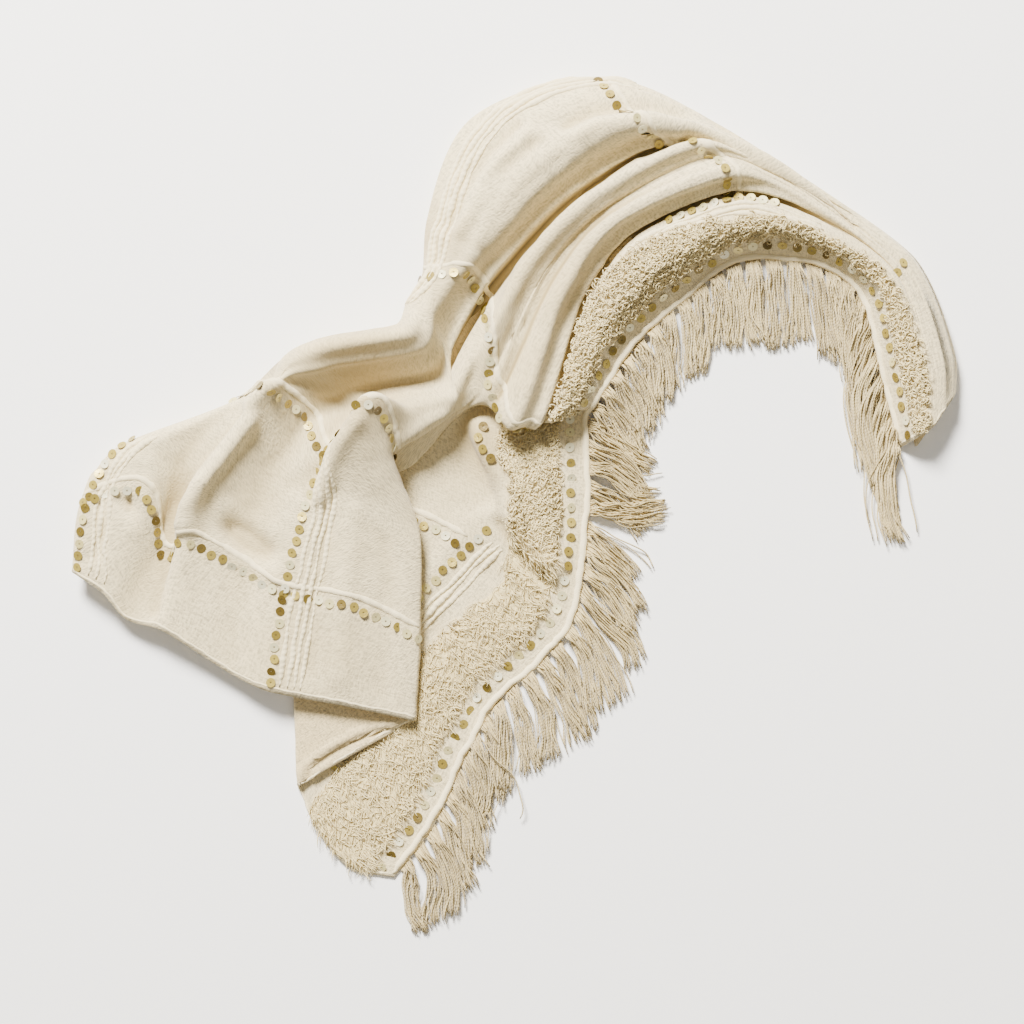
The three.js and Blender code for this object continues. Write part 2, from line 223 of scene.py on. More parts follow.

# Places where shade is painted on the gathered cotton as a deeper, warmer colour, in millimetres on the
# layout.
PAINTED_SHADE_PATCHES = (
    dict(part="arch", place=(50, 275), reach=95, depth=0.52),
    dict(part="arch", place=(15, 175), reach=70, depth=0.42),
    dict(part="arch", place=(-75, 245), reach=55, depth=0.38),
    dict(part="arch", place=(-96, 330), reach=46, depth=0.75),
    dict(part="fan", place=(-185, 165), reach=85, depth=0.85),
    dict(part="fan", place=(-240, -170), reach=100, depth=0.30),
    dict(part="flap", place=(-58, 80), reach=62, depth=1.0),
)

# Unevenness of the gathered cotton, in millimetres: its height, what gathering adds to that, and the size
# of its waves along the hem, across the throw and upwards. Lumps are small and the same everywhere. The
# waves are reckoned with one spacing between fold lines, and die down between the calm end's sections.
UNEVENNESS = (
    dict(height=1.5, gathered=1.6, waves=(150, 22, 60), seed=1),
    dict(height=1.6, gathered=-0.6, waves=(70, 46, 60), seed=2),
)
LUMP_HEIGHT = 1.1
LUMP_WAVES = (17, 17, 17)
LINE_SPACING = 40.0
CALM_END = (11.0, 12.0)

# Narrow and wide folds, whose bottoms get painted shade: how many grid steps their surroundings reach along
# and across the throw, and how far below those a place is at the fold's bottom. The last value is how wide a
# sharp crease's painted dark line is.
NARROW_FOLD = dict(along=2, across=4, depth=9)
WIDE_FOLD = dict(along=6, across=11, depth=21)
SHARP_CREASE = 5.0


# Curves and surfaces

def curve_tangents(points):
    """Tangents no longer than the nearer neighbour is away, so flat stretches stay flat beside a turn."""
    steps = np.diff(points, axis=0)
    nothing = np.zeros_like(steps[:1])
    incoming = np.concatenate([nothing, steps])
    outgoing = np.concatenate([steps, nothing])
    reach_in = np.linalg.norm(incoming, axis=-1, keepdims=True)
    reach_out = np.linalg.norm(outgoing, axis=-1, keepdims=True)
    direction = incoming / np.maximum(reach_in, TINY) + outgoing / np.maximum(reach_out, TINY)
    direction /= np.maximum(np.linalg.norm(direction, axis=-1, keepdims=True), TINY)
    reach = np.minimum(reach_in, reach_out)
    reach[0] = reach_out[0]
    reach[-1] = reach_in[-1]
    return direction * reach


def smooth_curve(points, at):
    """Places on the smooth curve through points, at places counted in points from the first one."""
    tangents = curve_tangents(points)
    index = np.minimum(at.astype(int), len(points) - 2)
    part = (at - index).reshape(-1, *([1] * (points.ndim - 1)))
    rest = 1 - part
    return (points[index] * (1 + 2 * part) * rest ** 2 + tangents[index] * part * rest ** 2
            + points[index + 1] * part ** 2 * (3 - 2 * part) - tangents[index + 1] * part ** 2 * rest)


def fold_pair(section, name):
    """The two points of a fold: one above the other where folded flat, side by side on a ridge."""
    place = FOLD_LINES.index(name)
    here = np.array(section[name], float)
    before = np.array(section[FOLD_LINES[place - 1]], float)
    after = np.array(section[FOLD_LINES[place + 1]], float)
    half = (after - before) * (1 - section["stacked"]) * FOLD_SPREAD_SHARE
    half[2] = section["stacked"] * FOLD_LIFT / 2
    return [here - half, here + half]


def hidden_points(section):
    """The hidden layers run back and forth between outer and tuck, the last one flat on the surface."""
    points = []
    for layer in range(HIDDEN_PASSES):
        height = CLOTH_THICKNESS / 2 + (HIDDEN_PASSES - 1 - layer) * LAYER_PITCH
        ends = ("outer", "tuck") if layer % 2 == 0 else ("tuck", "outer")
        points += [np.array((*section[end], height), float) for end in ends]
    return points


def control_points():
    """One row of points for each section, in millimetres on the layout."""
    rows = []
    for section in SECTIONS.values():
        visible = []
        for name in FOLD_LINES:
            visible += fold_pair(section, name) if name in DOUBLED_LINES else [np.array(section[name], float)]
        rows.append(visible + hidden_points(section))
    return np.array(rows)


def line_number(name):
    """Where a fold line stands in a row of control points. A doubled line gives its first point."""
    place = FOLD_LINES.index(name)
    return place + sum(1 for doubled in DOUBLED_LINES if FOLD_LINES.index(doubled) < place)


HEM, ROW, FOOT, UNDER, OVER, BROW, STRIPE, LOBE, CREST = (
    line_number(name) for name in ("hem", "row", "foot", "under", "over", "brow", "stripe", "lobe", "crest"))
PINCH = SECTION_NAMES.index("flap_top")
ARCH_START = SECTION_NAMES.index("under_lip")
LAST_SECTION = len(SECTION_NAMES) - 1
HALF_CLOTH = CLOTH_THICKNESS / 2 * MM

# How far to each side of a place, in sections, the cloth's width there is measured, and the least that
# it is taken to be, in metres.
NUDGE = 0.05
LEAST_SPAN = 0.0004


def even_cuts(lengths, pitch, least):
    """Places, counted in lines, that cut each gap between lines into steps of about one pitch."""
    counts = [max(least, round(length / pitch)) for length in lengths]
    cuts = [index + np.arange(count) / count for index, count in enumerate(counts)]
    return np.concatenate([*cuts, [float(len(counts))]])


def unit(vectors):
    return vectors / np.maximum(np.linalg.norm(vectors, axis=-1, keepdims=True), TINY)


def surface_directions(surface):
    """Unit vectors along the hem, across the throw and out of the cloth's face, at each grid point."""
    along = unit(np.gradient(surface, axis=0))
    across = unit(np.gradient(surface, axis=1))
    return along, across, unit(np.cross(along, across))


def smooth_step(low, high, value):
    part = np.clip((value - low) / (high - low), 0, 1)
    return part * part * (3 - 2 * part)


def blurred(values, reach, axis):
    """The mean of a grid's values over a few steps to each side along one axis."""
    size = 2 * reach + 1
    widths = [(reach + 1, reach) if place == axis else (0, 0) for place in range(values.ndim)]
    sums = np.cumsum(np.pad(values, widths, mode="edge"), axis=axis)
    upper = np.take(sums, range(size, sums.shape[axis]), axis)
    return (upper - np.take(sums, range(sums.shape[axis] - size), axis)) / size


def step_lengths(points, axis=0):
    """The distance from each point to the next one along an axis."""
    return np.linalg.norm(np.diff(points, axis=axis), axis=-1)


def running_total(steps):
    """The length run at each point: 0 at the first, then the steps added up along the last axis."""
    return np.concatenate([np.zeros((*steps.shape[:-1], 1)), np.cumsum(steps, axis=-1)], axis=-1)


def run_from_hem(surface):
    """The length along the cloth from its hem to each grid point."""
    return running_total(step_lengths(surface, axis=1))


def noise_at(points, scale, seed):
    """Smooth noise of about -1 to 1 at each point, with features about one scale wide."""
    flat = points.reshape(-1, 3) / np.array(scale) + seed * 17.31
    values = [noise.noise(Vector(point)) for point in flat]
    return np.array(values).reshape(points.shape[:-1])


def distance_to_line(places, line):
    """Distance on the layout from each place to a line through points, positive on the line's left."""
    nearest = np.full(places.shape[:-1], np.inf)
    for start, end in zip(line[:-1], line[1:]):
        start = np.array(start, float)
        step = np.array(end, float) - start
        away = places - start
        part = np.clip((away @ step) / (step @ step), 0, 1)
        gap = np.linalg.norm(away - part[..., None] * step, axis=-1)
        gap = np.copysign(gap, step[0] * away[..., 1] - step[1] * away[..., 0])
        nearest = np.where(np.abs(gap) < np.abs(nearest), gap, nearest)
    return nearest


def beyond_ends(places, line):
    """1 beside a line, falling to 0 past its two ends, so that a step fades out there."""
    fade = np.ones(places.shape[:-1])
    for end, inner in ((line[0], line[1]), (line[-1], line[-2])):
        end = np.array(end, float)
        outwards = unit(end - np.array(inner, float))
        fade *= 1 - smooth_step(*STEP_FADE, (places - end) @ outwards)
    return fade


def crease_profile(crease, gap):
    """How far the cloth is moved at a distance from a crease: one soft ridge or trough, or a step."""
    share = gap / crease["width"]
    if crease.get("step"):
        return crease["rise"] * share * np.exp(0.5 - share ** 2 / 2)
    return crease["rise"] * np.exp(-share ** 2)


def part_mask(part, section, line):
    """1 on the part of the cloth that a crease belongs to, and 0 on the rest."""
    if part == "arch":
        return smooth_step(ARCH_START - 0.5, ARCH_START + 0.5, section) * (line < CREST)
    before_pinch = 1 - smooth_step(PINCH, PINCH + 0.8, section)
    if part == "flap":
        return before_pinch * (1 - smooth_step(FOOT, UNDER, line))
    if part == "middle":
        turned_over = smooth_step(UNDER + 1, UNDER + 1.2, line) * (1 - smooth_step(OVER - 0.2, OVER, line))
        return before_pinch * turned_over
    return before_pinch * smooth_step(OVER, BROW, line) * (line < CREST)


class Cloth:
    """The finished middle surface of the throw on a fine grid, and what can be looked up on it."""

    def __init__(self, column_pitch, row_pitch):
        control = control_points()
        visible = control[:, :CREST + 1]
        hidden_gaps = control.shape[1] - 1 - CREST
        visible_lines = even_cuts(step_lengths(visible, axis=1).mean(axis=0), row_pitch, 3)
        hidden_lines = CREST + even_cuts([1] * hidden_gaps, 0.5, 2)[1:]
        self.sections = even_cuts(step_lengths(visible).mean(axis=1), column_pitch, 4)
        self.lines = np.concatenate([visible_lines, hidden_lines])
        self.section_grid, self.line_grid = np.meshgrid(self.sections, self.lines, indexing="ij")
        threads = smooth_curve(control, self.sections)
        middle = smooth_curve(threads.transpose(1, 0, 2), self.lines).transpose(1, 0, 2)
        self.layout = self.with_creases(middle)
        self.layout[..., 2] = np.maximum(self.layout[..., 2], self.lowest())
        self.points = (self.layout - np.array(LAYOUT_CENTRE)) * MM
        self.along, self.across, self.normal = surface_directions(self.points)
        self.from_hem = run_from_hem(self.points)

    def lowest(self):
        """The lowest that the cloth may lie: on the surface, or on the hidden layers that it covers."""
        in_arch = (self.section_grid > ARCH_START + 1) & (self.line_grid > FOOT + 0.5)
        covered = (self.line_grid < CREST - 0.3) & ((self.line_grid > STRIPE) | in_arch)
        top_layer = CLOTH_THICKNESS * 1.6 + (HIDDEN_PASSES - 1) * LAYER_PITCH
        return np.where(covered, top_layer, CLOTH_THICKNESS / 2)

    def with_creases(self, middle):
        """Adds the creases and the small unevenness of gathered cloth to the parts that show."""
        section, line = self.section_grid, self.line_grid
        rise = np.zeros(section.shape)
        for part, creases in CREASES.items():
            for crease in creases:
                gap = distance_to_line(middle[..., :2], crease["line"])
                mask = part_mask(part, section, line)
                if crease.get("step"):
                    mask = mask * beyond_ends(middle[..., :2], crease["line"])
                rise += crease_profile(crease, gap) * mask
        run = run_from_hem(middle)
        for crease in FOLD_CREASES:
            gap, mask = self.beside_fold(crease, run)
            rise += crease_profile(crease, gap) * mask
        along = section / LAST_SECTION * FLAT_WIDTH
        folded = np.stack([along, line * LINE_SPACING, np.zeros_like(line)], axis=-1)
        gathered = smooth_step(PINCH - 1.5, ARCH_START + 1, section)
        shows = (1 - smooth_step(CREST - 1.0, CREST, line)) * (1 - 0.85 * smooth_step(*CALM_END, section))
        for wave in UNEVENNESS:
            height = wave["height"] + wave["gathered"] * gathered
            rise += shows * height * noise_at(folded, wave["waves"], wave["seed"])
        rise += shows * LUMP_HEIGHT * noise_at(middle, LUMP_WAVES, 3)
        return middle + surface_directions(middle)[2] * rise[..., None]

    def beside_fold(self, crease, run):
        """Distance across the cloth from a crease's fold line, and 1 over the sections that it crosses."""
        wanted = line_number(crease["line"])
        here = np.array([np.interp(wanted, self.lines, column) for column in run])
        low, high = sorted(SECTION_NAMES.index(crease[end]) for end in ("first", "last"))
        mask = smooth_step(low - 0.6, low + 0.2, self.sections)
        mask = mask * (1 - smooth_step(high - 0.2, high + 0.8, self.sections))
        return run - here[:, None], mask[:, None]

    def painted_shade_depth(self):
        """How much shade is painted at each visible place: up to 1 at fold bottoms and in the painted shade
        patches, more along sharp creases.
        """
        visible = int(np.searchsorted(self.lines, CREST)) + 1
        heights = self.layout[:, :visible, 2]
        narrow, wide = (blurred(blurred(heights, fold["along"], 0), fold["across"], 1) - heights
                        for fold in (NARROW_FOLD, WIDE_FOLD))
        wide *= 1 - 0.75 * smooth_step(PINCH, ARCH_START + 0.5, self.sections)[:, None]
        depth = np.zeros(self.layout.shape[:2])
        deepest = np.maximum(narrow / NARROW_FOLD["depth"], wide / WIDE_FOLD["depth"])
        depth[:, :visible] = np.clip(deepest, 0, 1)
        for patch in PAINTED_SHADE_PATCHES:
            away = np.linalg.norm(self.layout[..., :2] - np.array(patch["place"], float), axis=-1)
            soft_edge = patch["depth"] * np.exp(-(away / patch["reach"]) ** 2)
            mask = part_mask(patch["part"], self.section_grid, self.line_grid)
            depth = np.maximum(depth, soft_edge * mask)
        for crease in FOLD_CREASES:
            gap, mask = self.beside_fold(crease, self.from_hem / MM)
            sharp = crease.get("shade", 0.0) * np.exp(-((gap + crease["width"]) / SHARP_CREASE) ** 2)
            depth = np.maximum(depth, sharp * mask)
        return depth

    def column(self, section):
        """Where each section stands, counted in grid columns."""
        return np.interp(section, self.sections, np.arange(len(self.sections)))

    def at(self, table, section, line):
        """Values of a grid table at places given by section and line, between the grid's points."""
        column = self.column(section)
        row = np.interp(line, self.lines, np.arange(len(self.lines)))
        i = np.minimum(column.astype(int), len(self.sections) - 2)
        j = np.minimum(row.astype(int), len(self.lines) - 2)
        shape = (-1, *([1] * (table.ndim - 2)))
        a = (column - i).reshape(shape)
        b = (row - j).reshape(shape)
        return ((table[i, j] * (1 - a) + table[i + 1, j] * a) * (1 - b)
                + (table[i, j + 1] * (1 - a) + table[i + 1, j + 1] * a) * b)

    def point(self, section, line):
        """The points of the cloth's middle surface at places given by section and line."""
        return self.at(self.points, section, line)

    def hem_runs(self, section):
        """The lengths from the hem along the grid column nearest to each section."""
        return self.from_hem[np.round(self.column(section)).astype(int)]

    def line_at(self, section, distance):
        """The line, counted in fold lines, that lies a given distance in from the hem."""
        distances = np.broadcast_to(distance, section.shape)
        return np.array([np.interp(wanted, run, self.lines)
                         for run, wanted in zip(self.hem_runs(section), distances)])

    def distance_at(self, section, line):
        """How far in from the hem a line lies."""
        places = np.broadcast_to(line, section.shape)
        return np.array([np.interp(place, self.lines, run)
                         for run, place in zip(self.hem_runs(section), places)])

    def moved_across(self, section, line, distance):
        """The line that lies a small distance further in from another one."""
        return self.line_at(section, self.distance_at(section, line) + distance)

    def moved_along(self, section, line, distance):
        """The section that lies a small distance further along from another one."""
        near = self.point(np.minimum(section + NUDGE, LAST_SECTION), line)
        back = self.point(np.maximum(section - NUDGE, 0), line)
        span = np.maximum(np.linalg.norm(near - back, axis=-1), LEAST_SPAN)
        return np.clip(section + 2 * NUDGE * distance / span, 0, LAST_SECTION)

    def walk(self, section, line, pitch):
        """Even steps of one pitch along a route over the cloth: the section and line of each."""
        length = running_total(step_lengths(self.point(section, line)))
        marks = np.arange(0.5 * pitch, length[-1], pitch)
        return np.interp(marks, length, section), np.interp(marks, length, line)


# Meshes

def make_mesh(name, points, quads, caps=None, smooth=True):
    """An object from points, four-cornered faces and, at need, faces with more corners."""
    groups = [quads] if caps is None else [quads, caps]
    corners = np.concatenate([group.ravel() for group in groups]).astype(np.int32)
    sizes = np.concatenate([np.full(len(group), group.shape[1]) for group in groups])
    starts = np.concatenate([[0], np.cumsum(sizes)[:-1]]).astype(np.int32)
    mesh = bpy.data.meshes.new(name)
    mesh.vertices.add(len(points))
    mesh.vertices.foreach_set("co", points.astype(np.float32).ravel())
    mesh.loops.add(len(corners))
    mesh.loops.foreach_set("vertex_index", corners)
    mesh.polygons.add(len(sizes))
    mesh.polygons.foreach_set("loop_start", starts)
    mesh.polygons.foreach_set("use_smooth", np.full(len(sizes), smooth))
    mesh.update(calc_edges=True)
    if mesh.validate():
        raise RuntimeError(f"{name}: the mesh had faces that had to be removed")
    made = bpy.data.objects.new(name, mesh)
    bpy.context.scene.collection.objects.link(made)
    return made


def faces_between(first, second):
    """Faces between two rows of point numbers, or between two grids of them."""
    return np.stack([first[:-1], first[1:], second[1:], second[:-1]], axis=-1).reshape(-1, 4)


def make_slab(name, upper, lower):
    """A closed slab between two grids of points, and how many faces its lower side has, which come last."""
    top = np.arange(upper[..., 0].size).reshape(upper.shape[:2])
    under = top + top.size
    groups = [faces_between(top[:, :-1], top[:, 1:]),
              faces_between(under[:, 0], top[:, 0]), faces_between(top[:, -1], under[:, -1]),
              faces_between(top[0], under[0]), faces_between(under[-1], top[-1]),
              faces_between(under[:, 1:], under[:, :-1])]
    points = np.stack([upper, lower]).reshape(-1, 3)
    return make_mesh(name, points, np.concatenate(groups)), len(groups[-1])


def add_values(made, name, values):
    """Stores a number or a vector at each vertex, for the material to read."""
    kind, key = ("FLOAT", "value") if values.ndim == 1 else ("FLOAT_VECTOR", "vector")
    layer = made.data.attributes.new(name, kind, "POINT")
    layer.data.foreach_set(key, values.astype(np.float32).ravel())


def tube_parts(paths, radii, sides, up):
    """Points and faces of closed tubes. Paths are (tubes, stations, 3) and radii (tubes, stations)."""
    count, stations = radii.shape
    forward = unit(np.gradient(paths, axis=1))
    side = unit(np.cross(forward, up))
    top = np.cross(side, forward)
    angle = np.arange(sides) / sides * math.tau
    ring = (np.cos(angle)[None, None, :, None] * side[:, :, None] +
            np.sin(angle)[None, None, :, None] * top[:, :, None])
    points = paths[:, :, None] + ring * radii[:, :, None, None]
    here = np.arange(sides)
    turn = np.roll(here, -1)
    station = np.arange(stations - 1)[:, None] * sides
    band = np.stack([station + here, station + turn, station + sides + turn, station + sides + here], axis=-1)
    shift = (np.arange(count) * stations * sides)[:, None, None]
    quads = (band.reshape(-1, 4)[None] + shift).reshape(-1, 4)
    caps = (np.stack([here[::-1], here + (stations - 1) * sides])[None] + shift).reshape(-1, sides)
    spot = np.broadcast_to(np.stack([np.cos(angle), np.sin(angle)], axis=-1), (count, stations, sides, 2))
    run = running_total(step_lengths(paths, axis=1))
    lengthwise = np.broadcast_to(run[:, :, None, None], (count, stations, sides, 1))
    ply = np.concatenate([spot, lengthwise], axis=-1).reshape(-1, 3)
    return points.reshape(-1, 3), quads, caps, ply


def make_tubes(name, parts, tints):
    """Joins groups of tubes into one object. Each group is what tube_parts gives."""
    points, quads, caps, ply = zip(*parts)
    starts = np.cumsum([0, *(len(group) for group in points)])
    made = make_mesh(name, np.concatenate(points),
                     np.concatenate([group + start for group, start in zip(quads, starts)]),
                     np.concatenate([group + start for group, start in zip(caps, starts)]))
    add_values(made, "ply", np.concatenate(ply))
    tint = [np.repeat(tone.ravel(), len(group) // tone.size) for group, tone in zip(points, tints)]
    add_values(made, "tint", np.concatenate(tint))
    return made


def finish_piece(made, slot_name, *materials):
    """Gives a piece its materials and lets it ride on the frame."""
    for material in materials:
        made.data.materials.append(material)
    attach(made, "root")


# Shader maths

def maths_method(operation, swapped=False):
    """A method of Number that adds one Math node, with its two values swapped in a reflected form."""
    def method(self, other):
        return self.maths(operation, other, self) if swapped else self.maths(operation, self, other)
    return method


class Number:
    """A shader socket that takes part in sums. Each operator adds one Math node."""

    def __init__(self, bench, socket):
        self.bench = bench
        self.socket = socket

    def maths(self, operation, *others):
        made = self.bench.tree.nodes.new("ShaderNodeMath")
        made.operation = operation
        for socket, value in zip(made.inputs, others):
            self.bench.feed(socket, value)
        return Number(self.bench, made.outputs[0])

    __add__ = maths_method("ADD")
    __radd__ = maths_method("ADD", swapped=True)
    __sub__ = maths_method("SUBTRACT")
    __rsub__ = maths_method("SUBTRACT", swapped=True)
    __mul__ = maths_method("MULTIPLY")
    __rmul__ = maths_method("MULTIPLY", swapped=True)
    power = maths_method("POWER")

    def sine(self):
        return self.maths("SINE", self)

    def cosine(self):
        return self.maths("COSINE", self)

    def clamped(self):
        made = self.maths("ADD", self, 0.0)
        made.socket.node.use_clamp = True
        return made


class Bench:
    """A new material and the ways to add nodes to it."""

    def __init__(self, name):
        self.material = bpy.data.materials.new(name)
        self.material.use_nodes = True
        self.tree = self.material.node_tree
        self.shader = self.tree.nodes["Principled BSDF"]

    def feed(self, socket, value):
        if isinstance(value, Number):
            self.tree.links.new(value.socket, socket)
        elif isinstance(value, bpy.types.NodeSocket):
            self.tree.links.new(value, socket)
        else:
            socket.default_value = value

    def node(self, kind, settings=(), **values):
        """Adds a node: its settings first, then the values or links of its sockets."""
        made = self.tree.nodes.new(kind)
        for name, value in dict(settings).items():
            setattr(made, name, value)
        for name, value in values.items():
            self.feed(made.inputs[name], value)
        return made

    def stored(self, name):
        """The number stored at each vertex under a name."""
        return Number(self, self.node("ShaderNodeAttribute", {"attribute_name": name}).outputs["Fac"])

    def stored_parts(self, name):
        """The three parts of the vector stored at each vertex under a name."""
        vector = self.node("ShaderNodeAttribute", {"attribute_name": name}).outputs["Vector"]
        split = self.node("ShaderNodeSeparateXYZ", Vector=vector)
        return [Number(self, split.outputs[axis]) for axis in "XYZ"]

    def joined(self, x, y, z):
        return self.node("ShaderNodeCombineXYZ", X=x, Y=y, Z=z).outputs[0]

    def noise(self, vector, scale, detail=2.0, rough=0.5):
        made = self.node("ShaderNodeTexNoise", Vector=vector, Scale=scale, Detail=detail, Roughness=rough)
        return Number(self, made.outputs[0])

    def solid_noise(self, scale, detail=2.0, rough=0.5):
        """Noise that is fixed to the object, with its scale in features for each metre."""
        return self.noise(self.node("ShaderNodeTexCoord").outputs["Object"], scale, detail, rough)

    def ramp(self, value, stops):
        """A colour ramp from (place, colour) stops."""
        made = self.node("ShaderNodeValToRGB", Fac=value)
        elements = made.color_ramp.elements
        for index, (place, colour) in enumerate(stops):
            stop = elements[index] if index < 2 else elements.new(place)
            stop.position = place
            stop.color = (*colour, 1.0)
        return made.outputs[0]

    def mixed(self, factor, first, second):
        made = self.node("ShaderNodeMix", {"data_type": "RGBA"})
        self.feed(made.inputs[0], factor)
        for socket, colour in ((made.inputs[6], first), (made.inputs[7], second)):
            self.feed(socket, (*colour, 1.0) if isinstance(colour, tuple) else colour)
        return made.outputs[2]

    def bump(self, height, distance):
        return self.node("ShaderNodeBump", Height=height, Distance=distance, Strength=1.0).outputs[0]

    def set(self, **values):
        """Sets the main shader's sockets. A low line in a name stands for a space."""
        for name, value in values.items():
            self.feed(self.shader.inputs[name.replace("_", " ")], value)
        return self.material

    def set_cotton(self, **values):
        """Sets the main shader as for cotton: dull, with a soft sheen."""
        return self.set(Sheen_Roughness=0.6, **values)


def shaded(colour, share):
    """A colour with only a share of its light."""
    return tuple(share * part for part in colour)


def cloth_material(name, colour, deep_colour, painted_shade_colour):
    """Hand-woven slub cotton: warp and weft ridges, thick slubs, uneven colour, and painted shade between its
    threads and in its folds.
    """
    bench = Bench(name)
    x, y, _ = bench.stored_parts("weave")

    def woven_noise(along, across, layer, detail=1.0, rough=0.5):
        """Noise with its own number of features for each metre along and across the throw."""
        return bench.noise(bench.joined(x * along, y * across, layer), 1.0, detail, rough)

    warp = woven_noise(430.0, 80.0, 0.0)
    weft = woven_noise(80.0, 430.0, 3.0)
    slub = woven_noise(70.0, 420.0, 6.0, rough=0.6)
    grain = woven_noise(290.0, 290.0, 9.0, detail=2.0, rough=0.7)
    patch = woven_noise(14.0, 14.0, 1.0, detail=3.0)
    thick = ((slub - 0.60) * 6.0).clamped()
    nubby = ((patch - 0.40) * 4.0).clamped()
    threads = warp + weft
    height = threads * 0.6 + thick * 0.35 + grain * (nubby * 1.0 + 1.2)
    # Where the weave lies low its colour is painted darker, partly as the threads' own mottle and partly as
    # shade between them.
    fine = (threads * 1.6 + grain * 3.0 - 2.4).clamped()
    base = bench.mixed(patch, deep_colour, colour)
    woven = bench.mixed(fine, shaded(colour, 0.56), base)
    # The stored value is how much shade is painted here: warm painted shade in folds and patches, and a dark
    # painted line along sharp creases.
    hollow = bench.stored("hollow")
    soft_fold_shade = bench.mixed((hollow * 0.9).clamped(), woven, painted_shade_colour)
    sharp_crease_shade = bench.mixed((hollow - 1.0).clamped(), soft_fold_shade, shaded(painted_shade_colour, 0.15))
    return bench.set_cotton(Base_Color=sharp_crease_shade, Roughness=0.93, Specular_IOR_Level=0.2,
                            Sheen_Weight=0.25, Normal=bench.bump(height, 0.00055))


def yarn_material(name, tones, turns_per_metre, twist_share, depth):
    """Cotton yarn: a slanting twist, soft fuzz and a colour for each strand."""
    bench = Bench(name)
    cosine, sine, run = bench.stored_parts("ply")
    turn = run * (math.tau * turns_per_metre)
    twist = turn.sine() * cosine + turn.cosine() * sine
    fuzz = bench.solid_noise(900.0, 2.0, 0.7)
    patch = bench.solid_noise(26.0)
    # The tint holds each strand's own tone and, on the pile and fringe, painted shade at their roots; the
    # twist adds a little painted shade along its grooves.
    shade = bench.stored("tint") * 0.8 + patch * 0.2 + twist * (0.12 * twist_share) + (fuzz - 0.5) * 0.3
    colour = bench.ramp(shade.clamped(), list(zip((0.0, 0.5, 1.0), tones)))
    height = twist * twist_share + fuzz * 0.9
    return bench.set_cotton(Base_Color=colour, Roughness=0.95, Specular_IOR_Level=0.15,
                            Sheen_Weight=0.3, Normal=bench.bump(height, depth))


# The colours of the sequins from olive gold over amber and champagne to pearl, by tint.
SEQUIN_TONES = (
    (0.0, (0.12, 0.08, 0.012)), (0.3, (0.26, 0.19, 0.03)), (0.55, (0.44, 0.34, 0.07)),
    (0.75, (0.66, 0.56, 0.22)), (0.88, (0.80, 0.74, 0.44)), (1.0, (0.86, 0.82, 0.60)))


def sequin_material():
    """Worn metallised discs, painted darker around their holes as shade in them."""
    bench = Bench("sequin_foil")
    wear = bench.solid_noise(420.0, 3.0, 0.6)
    colour = bench.ramp((bench.stored("tint") + (wear - 0.5) * 0.14).clamped(), SEQUIN_TONES)
    toned = bench.mixed(bench.stored("hole_shade").power(1.5), colour, (0.10, 0.065, 0.02))
    return bench.set(
        Base_Color=toned, Metallic=0.35, Roughness=(0.28 + wear * 0.2),
        Coat_Weight=0.2, Coat_Roughness=0.15, Normal=bench.bump(wear, 0.0003))


def floor_material(colour):
    bench = Bench("floor_paper")
    grain = bench.solid_noise(60.0, 3.0)
    tone = bench.mixed(grain, shaded(colour, 0.985), colour)
    return bench.set(Base_Color=tone, Roughness=0.9, Normal=bench.bump(grain, 0.0001))


# Sizes and colours

def length(name, description, default):
    """A length in metres, which may be set from half to four times its normal value."""
    return bpy.props.FloatProperty(
        name=name, description=description, default=default, min=default / 2, max=default * 4,
        unit="LENGTH", precision=4)


def colour(name, description, default):
    return bpy.props.FloatVectorProperty(
        name=name, description=description, default=default, size=3, min=0, max=1, subtype="COLOR")


class ThrowSizes(bpy.types.PropertyGroup):
    """Sizes of the throw's cloth, pile, sequins, cords and fringe."""

    column_pitch: length("Column pitch", "Grid step along the hem", 0.0062)
    row_pitch: length("Row pitch", "Grid step across the throw", 0.0031)
    sequin_size: length("Sequin size", "Diameter of a sequin", 0.0115)
    sequin_pitch: length("Sequin pitch", "Distance between sequins in a row", 0.0145)
    cord_size: length("Cord size", "Thickness of the raised cords", 0.0104)
    rib_size: length("Rib size", "Thickness of the slubby ribs", 0.0064)
    piping_size: length("Piping size", "Thickness of the rolled hem", 0.0086)
    tuft_length: length("Tuft length", "Length of a tuft of the pile", 0.013)
    tuft_size: length("Tuft size", "Thickness of a tuft of the pile", 0.0020)
    yarn_size: length("Yarn size", "Thickness of a yarn of the fringe", 0.0021)
    bunch_pitch: length("Bunch pitch", "Distance between bunches of the fringe", 0.0250)
    pile_density: bpy.props.FloatProperty(
        name="Pile density", description="Share of the full number of tufts", default=1.0, min=0.1, max=1.0)
    yarns: bpy.props.IntProperty(name="Yarns", description="Yarns in a bunch", default=28, min=2)
    seed: bpy.props.IntProperty(name="Seed", description="Changes every random choice", default=7)


class ThrowColours(bpy.types.PropertyGroup):
    """Colours of the throw and its floor."""

    cloth: colour("Cloth", "Cream of the cloth's face", (0.78, 0.675, 0.42))
    cloth_deep: colour("Deep cloth", "Deeper patches of the cloth's face", (0.72, 0.60, 0.34))
    # The back's colours are deeper than the face's, partly the back's own tan and partly painted shade.
    back: colour("Back", "Cream of the cloth's back", (0.72, 0.59, 0.33))
    back_deep: colour("Deep back", "Deeper patches of the back", (0.66, 0.51, 0.26))
    # Colour of the painted shade in the folds, along sharp creases and in the painted shade patches.
    hollow: colour("Hollows", "Warm shade at the bottom of the folds", (0.42, 0.32, 0.15))
    pile: colour("Pile", "Middle colour of the tufts", (0.70, 0.575, 0.285))
    fringe: colour("Fringe", "Middle colour of the fringe", (0.53, 0.42, 0.20))
    floor: colour("Floor", "Colour of the floor", (0.97, 0.975, 0.98))


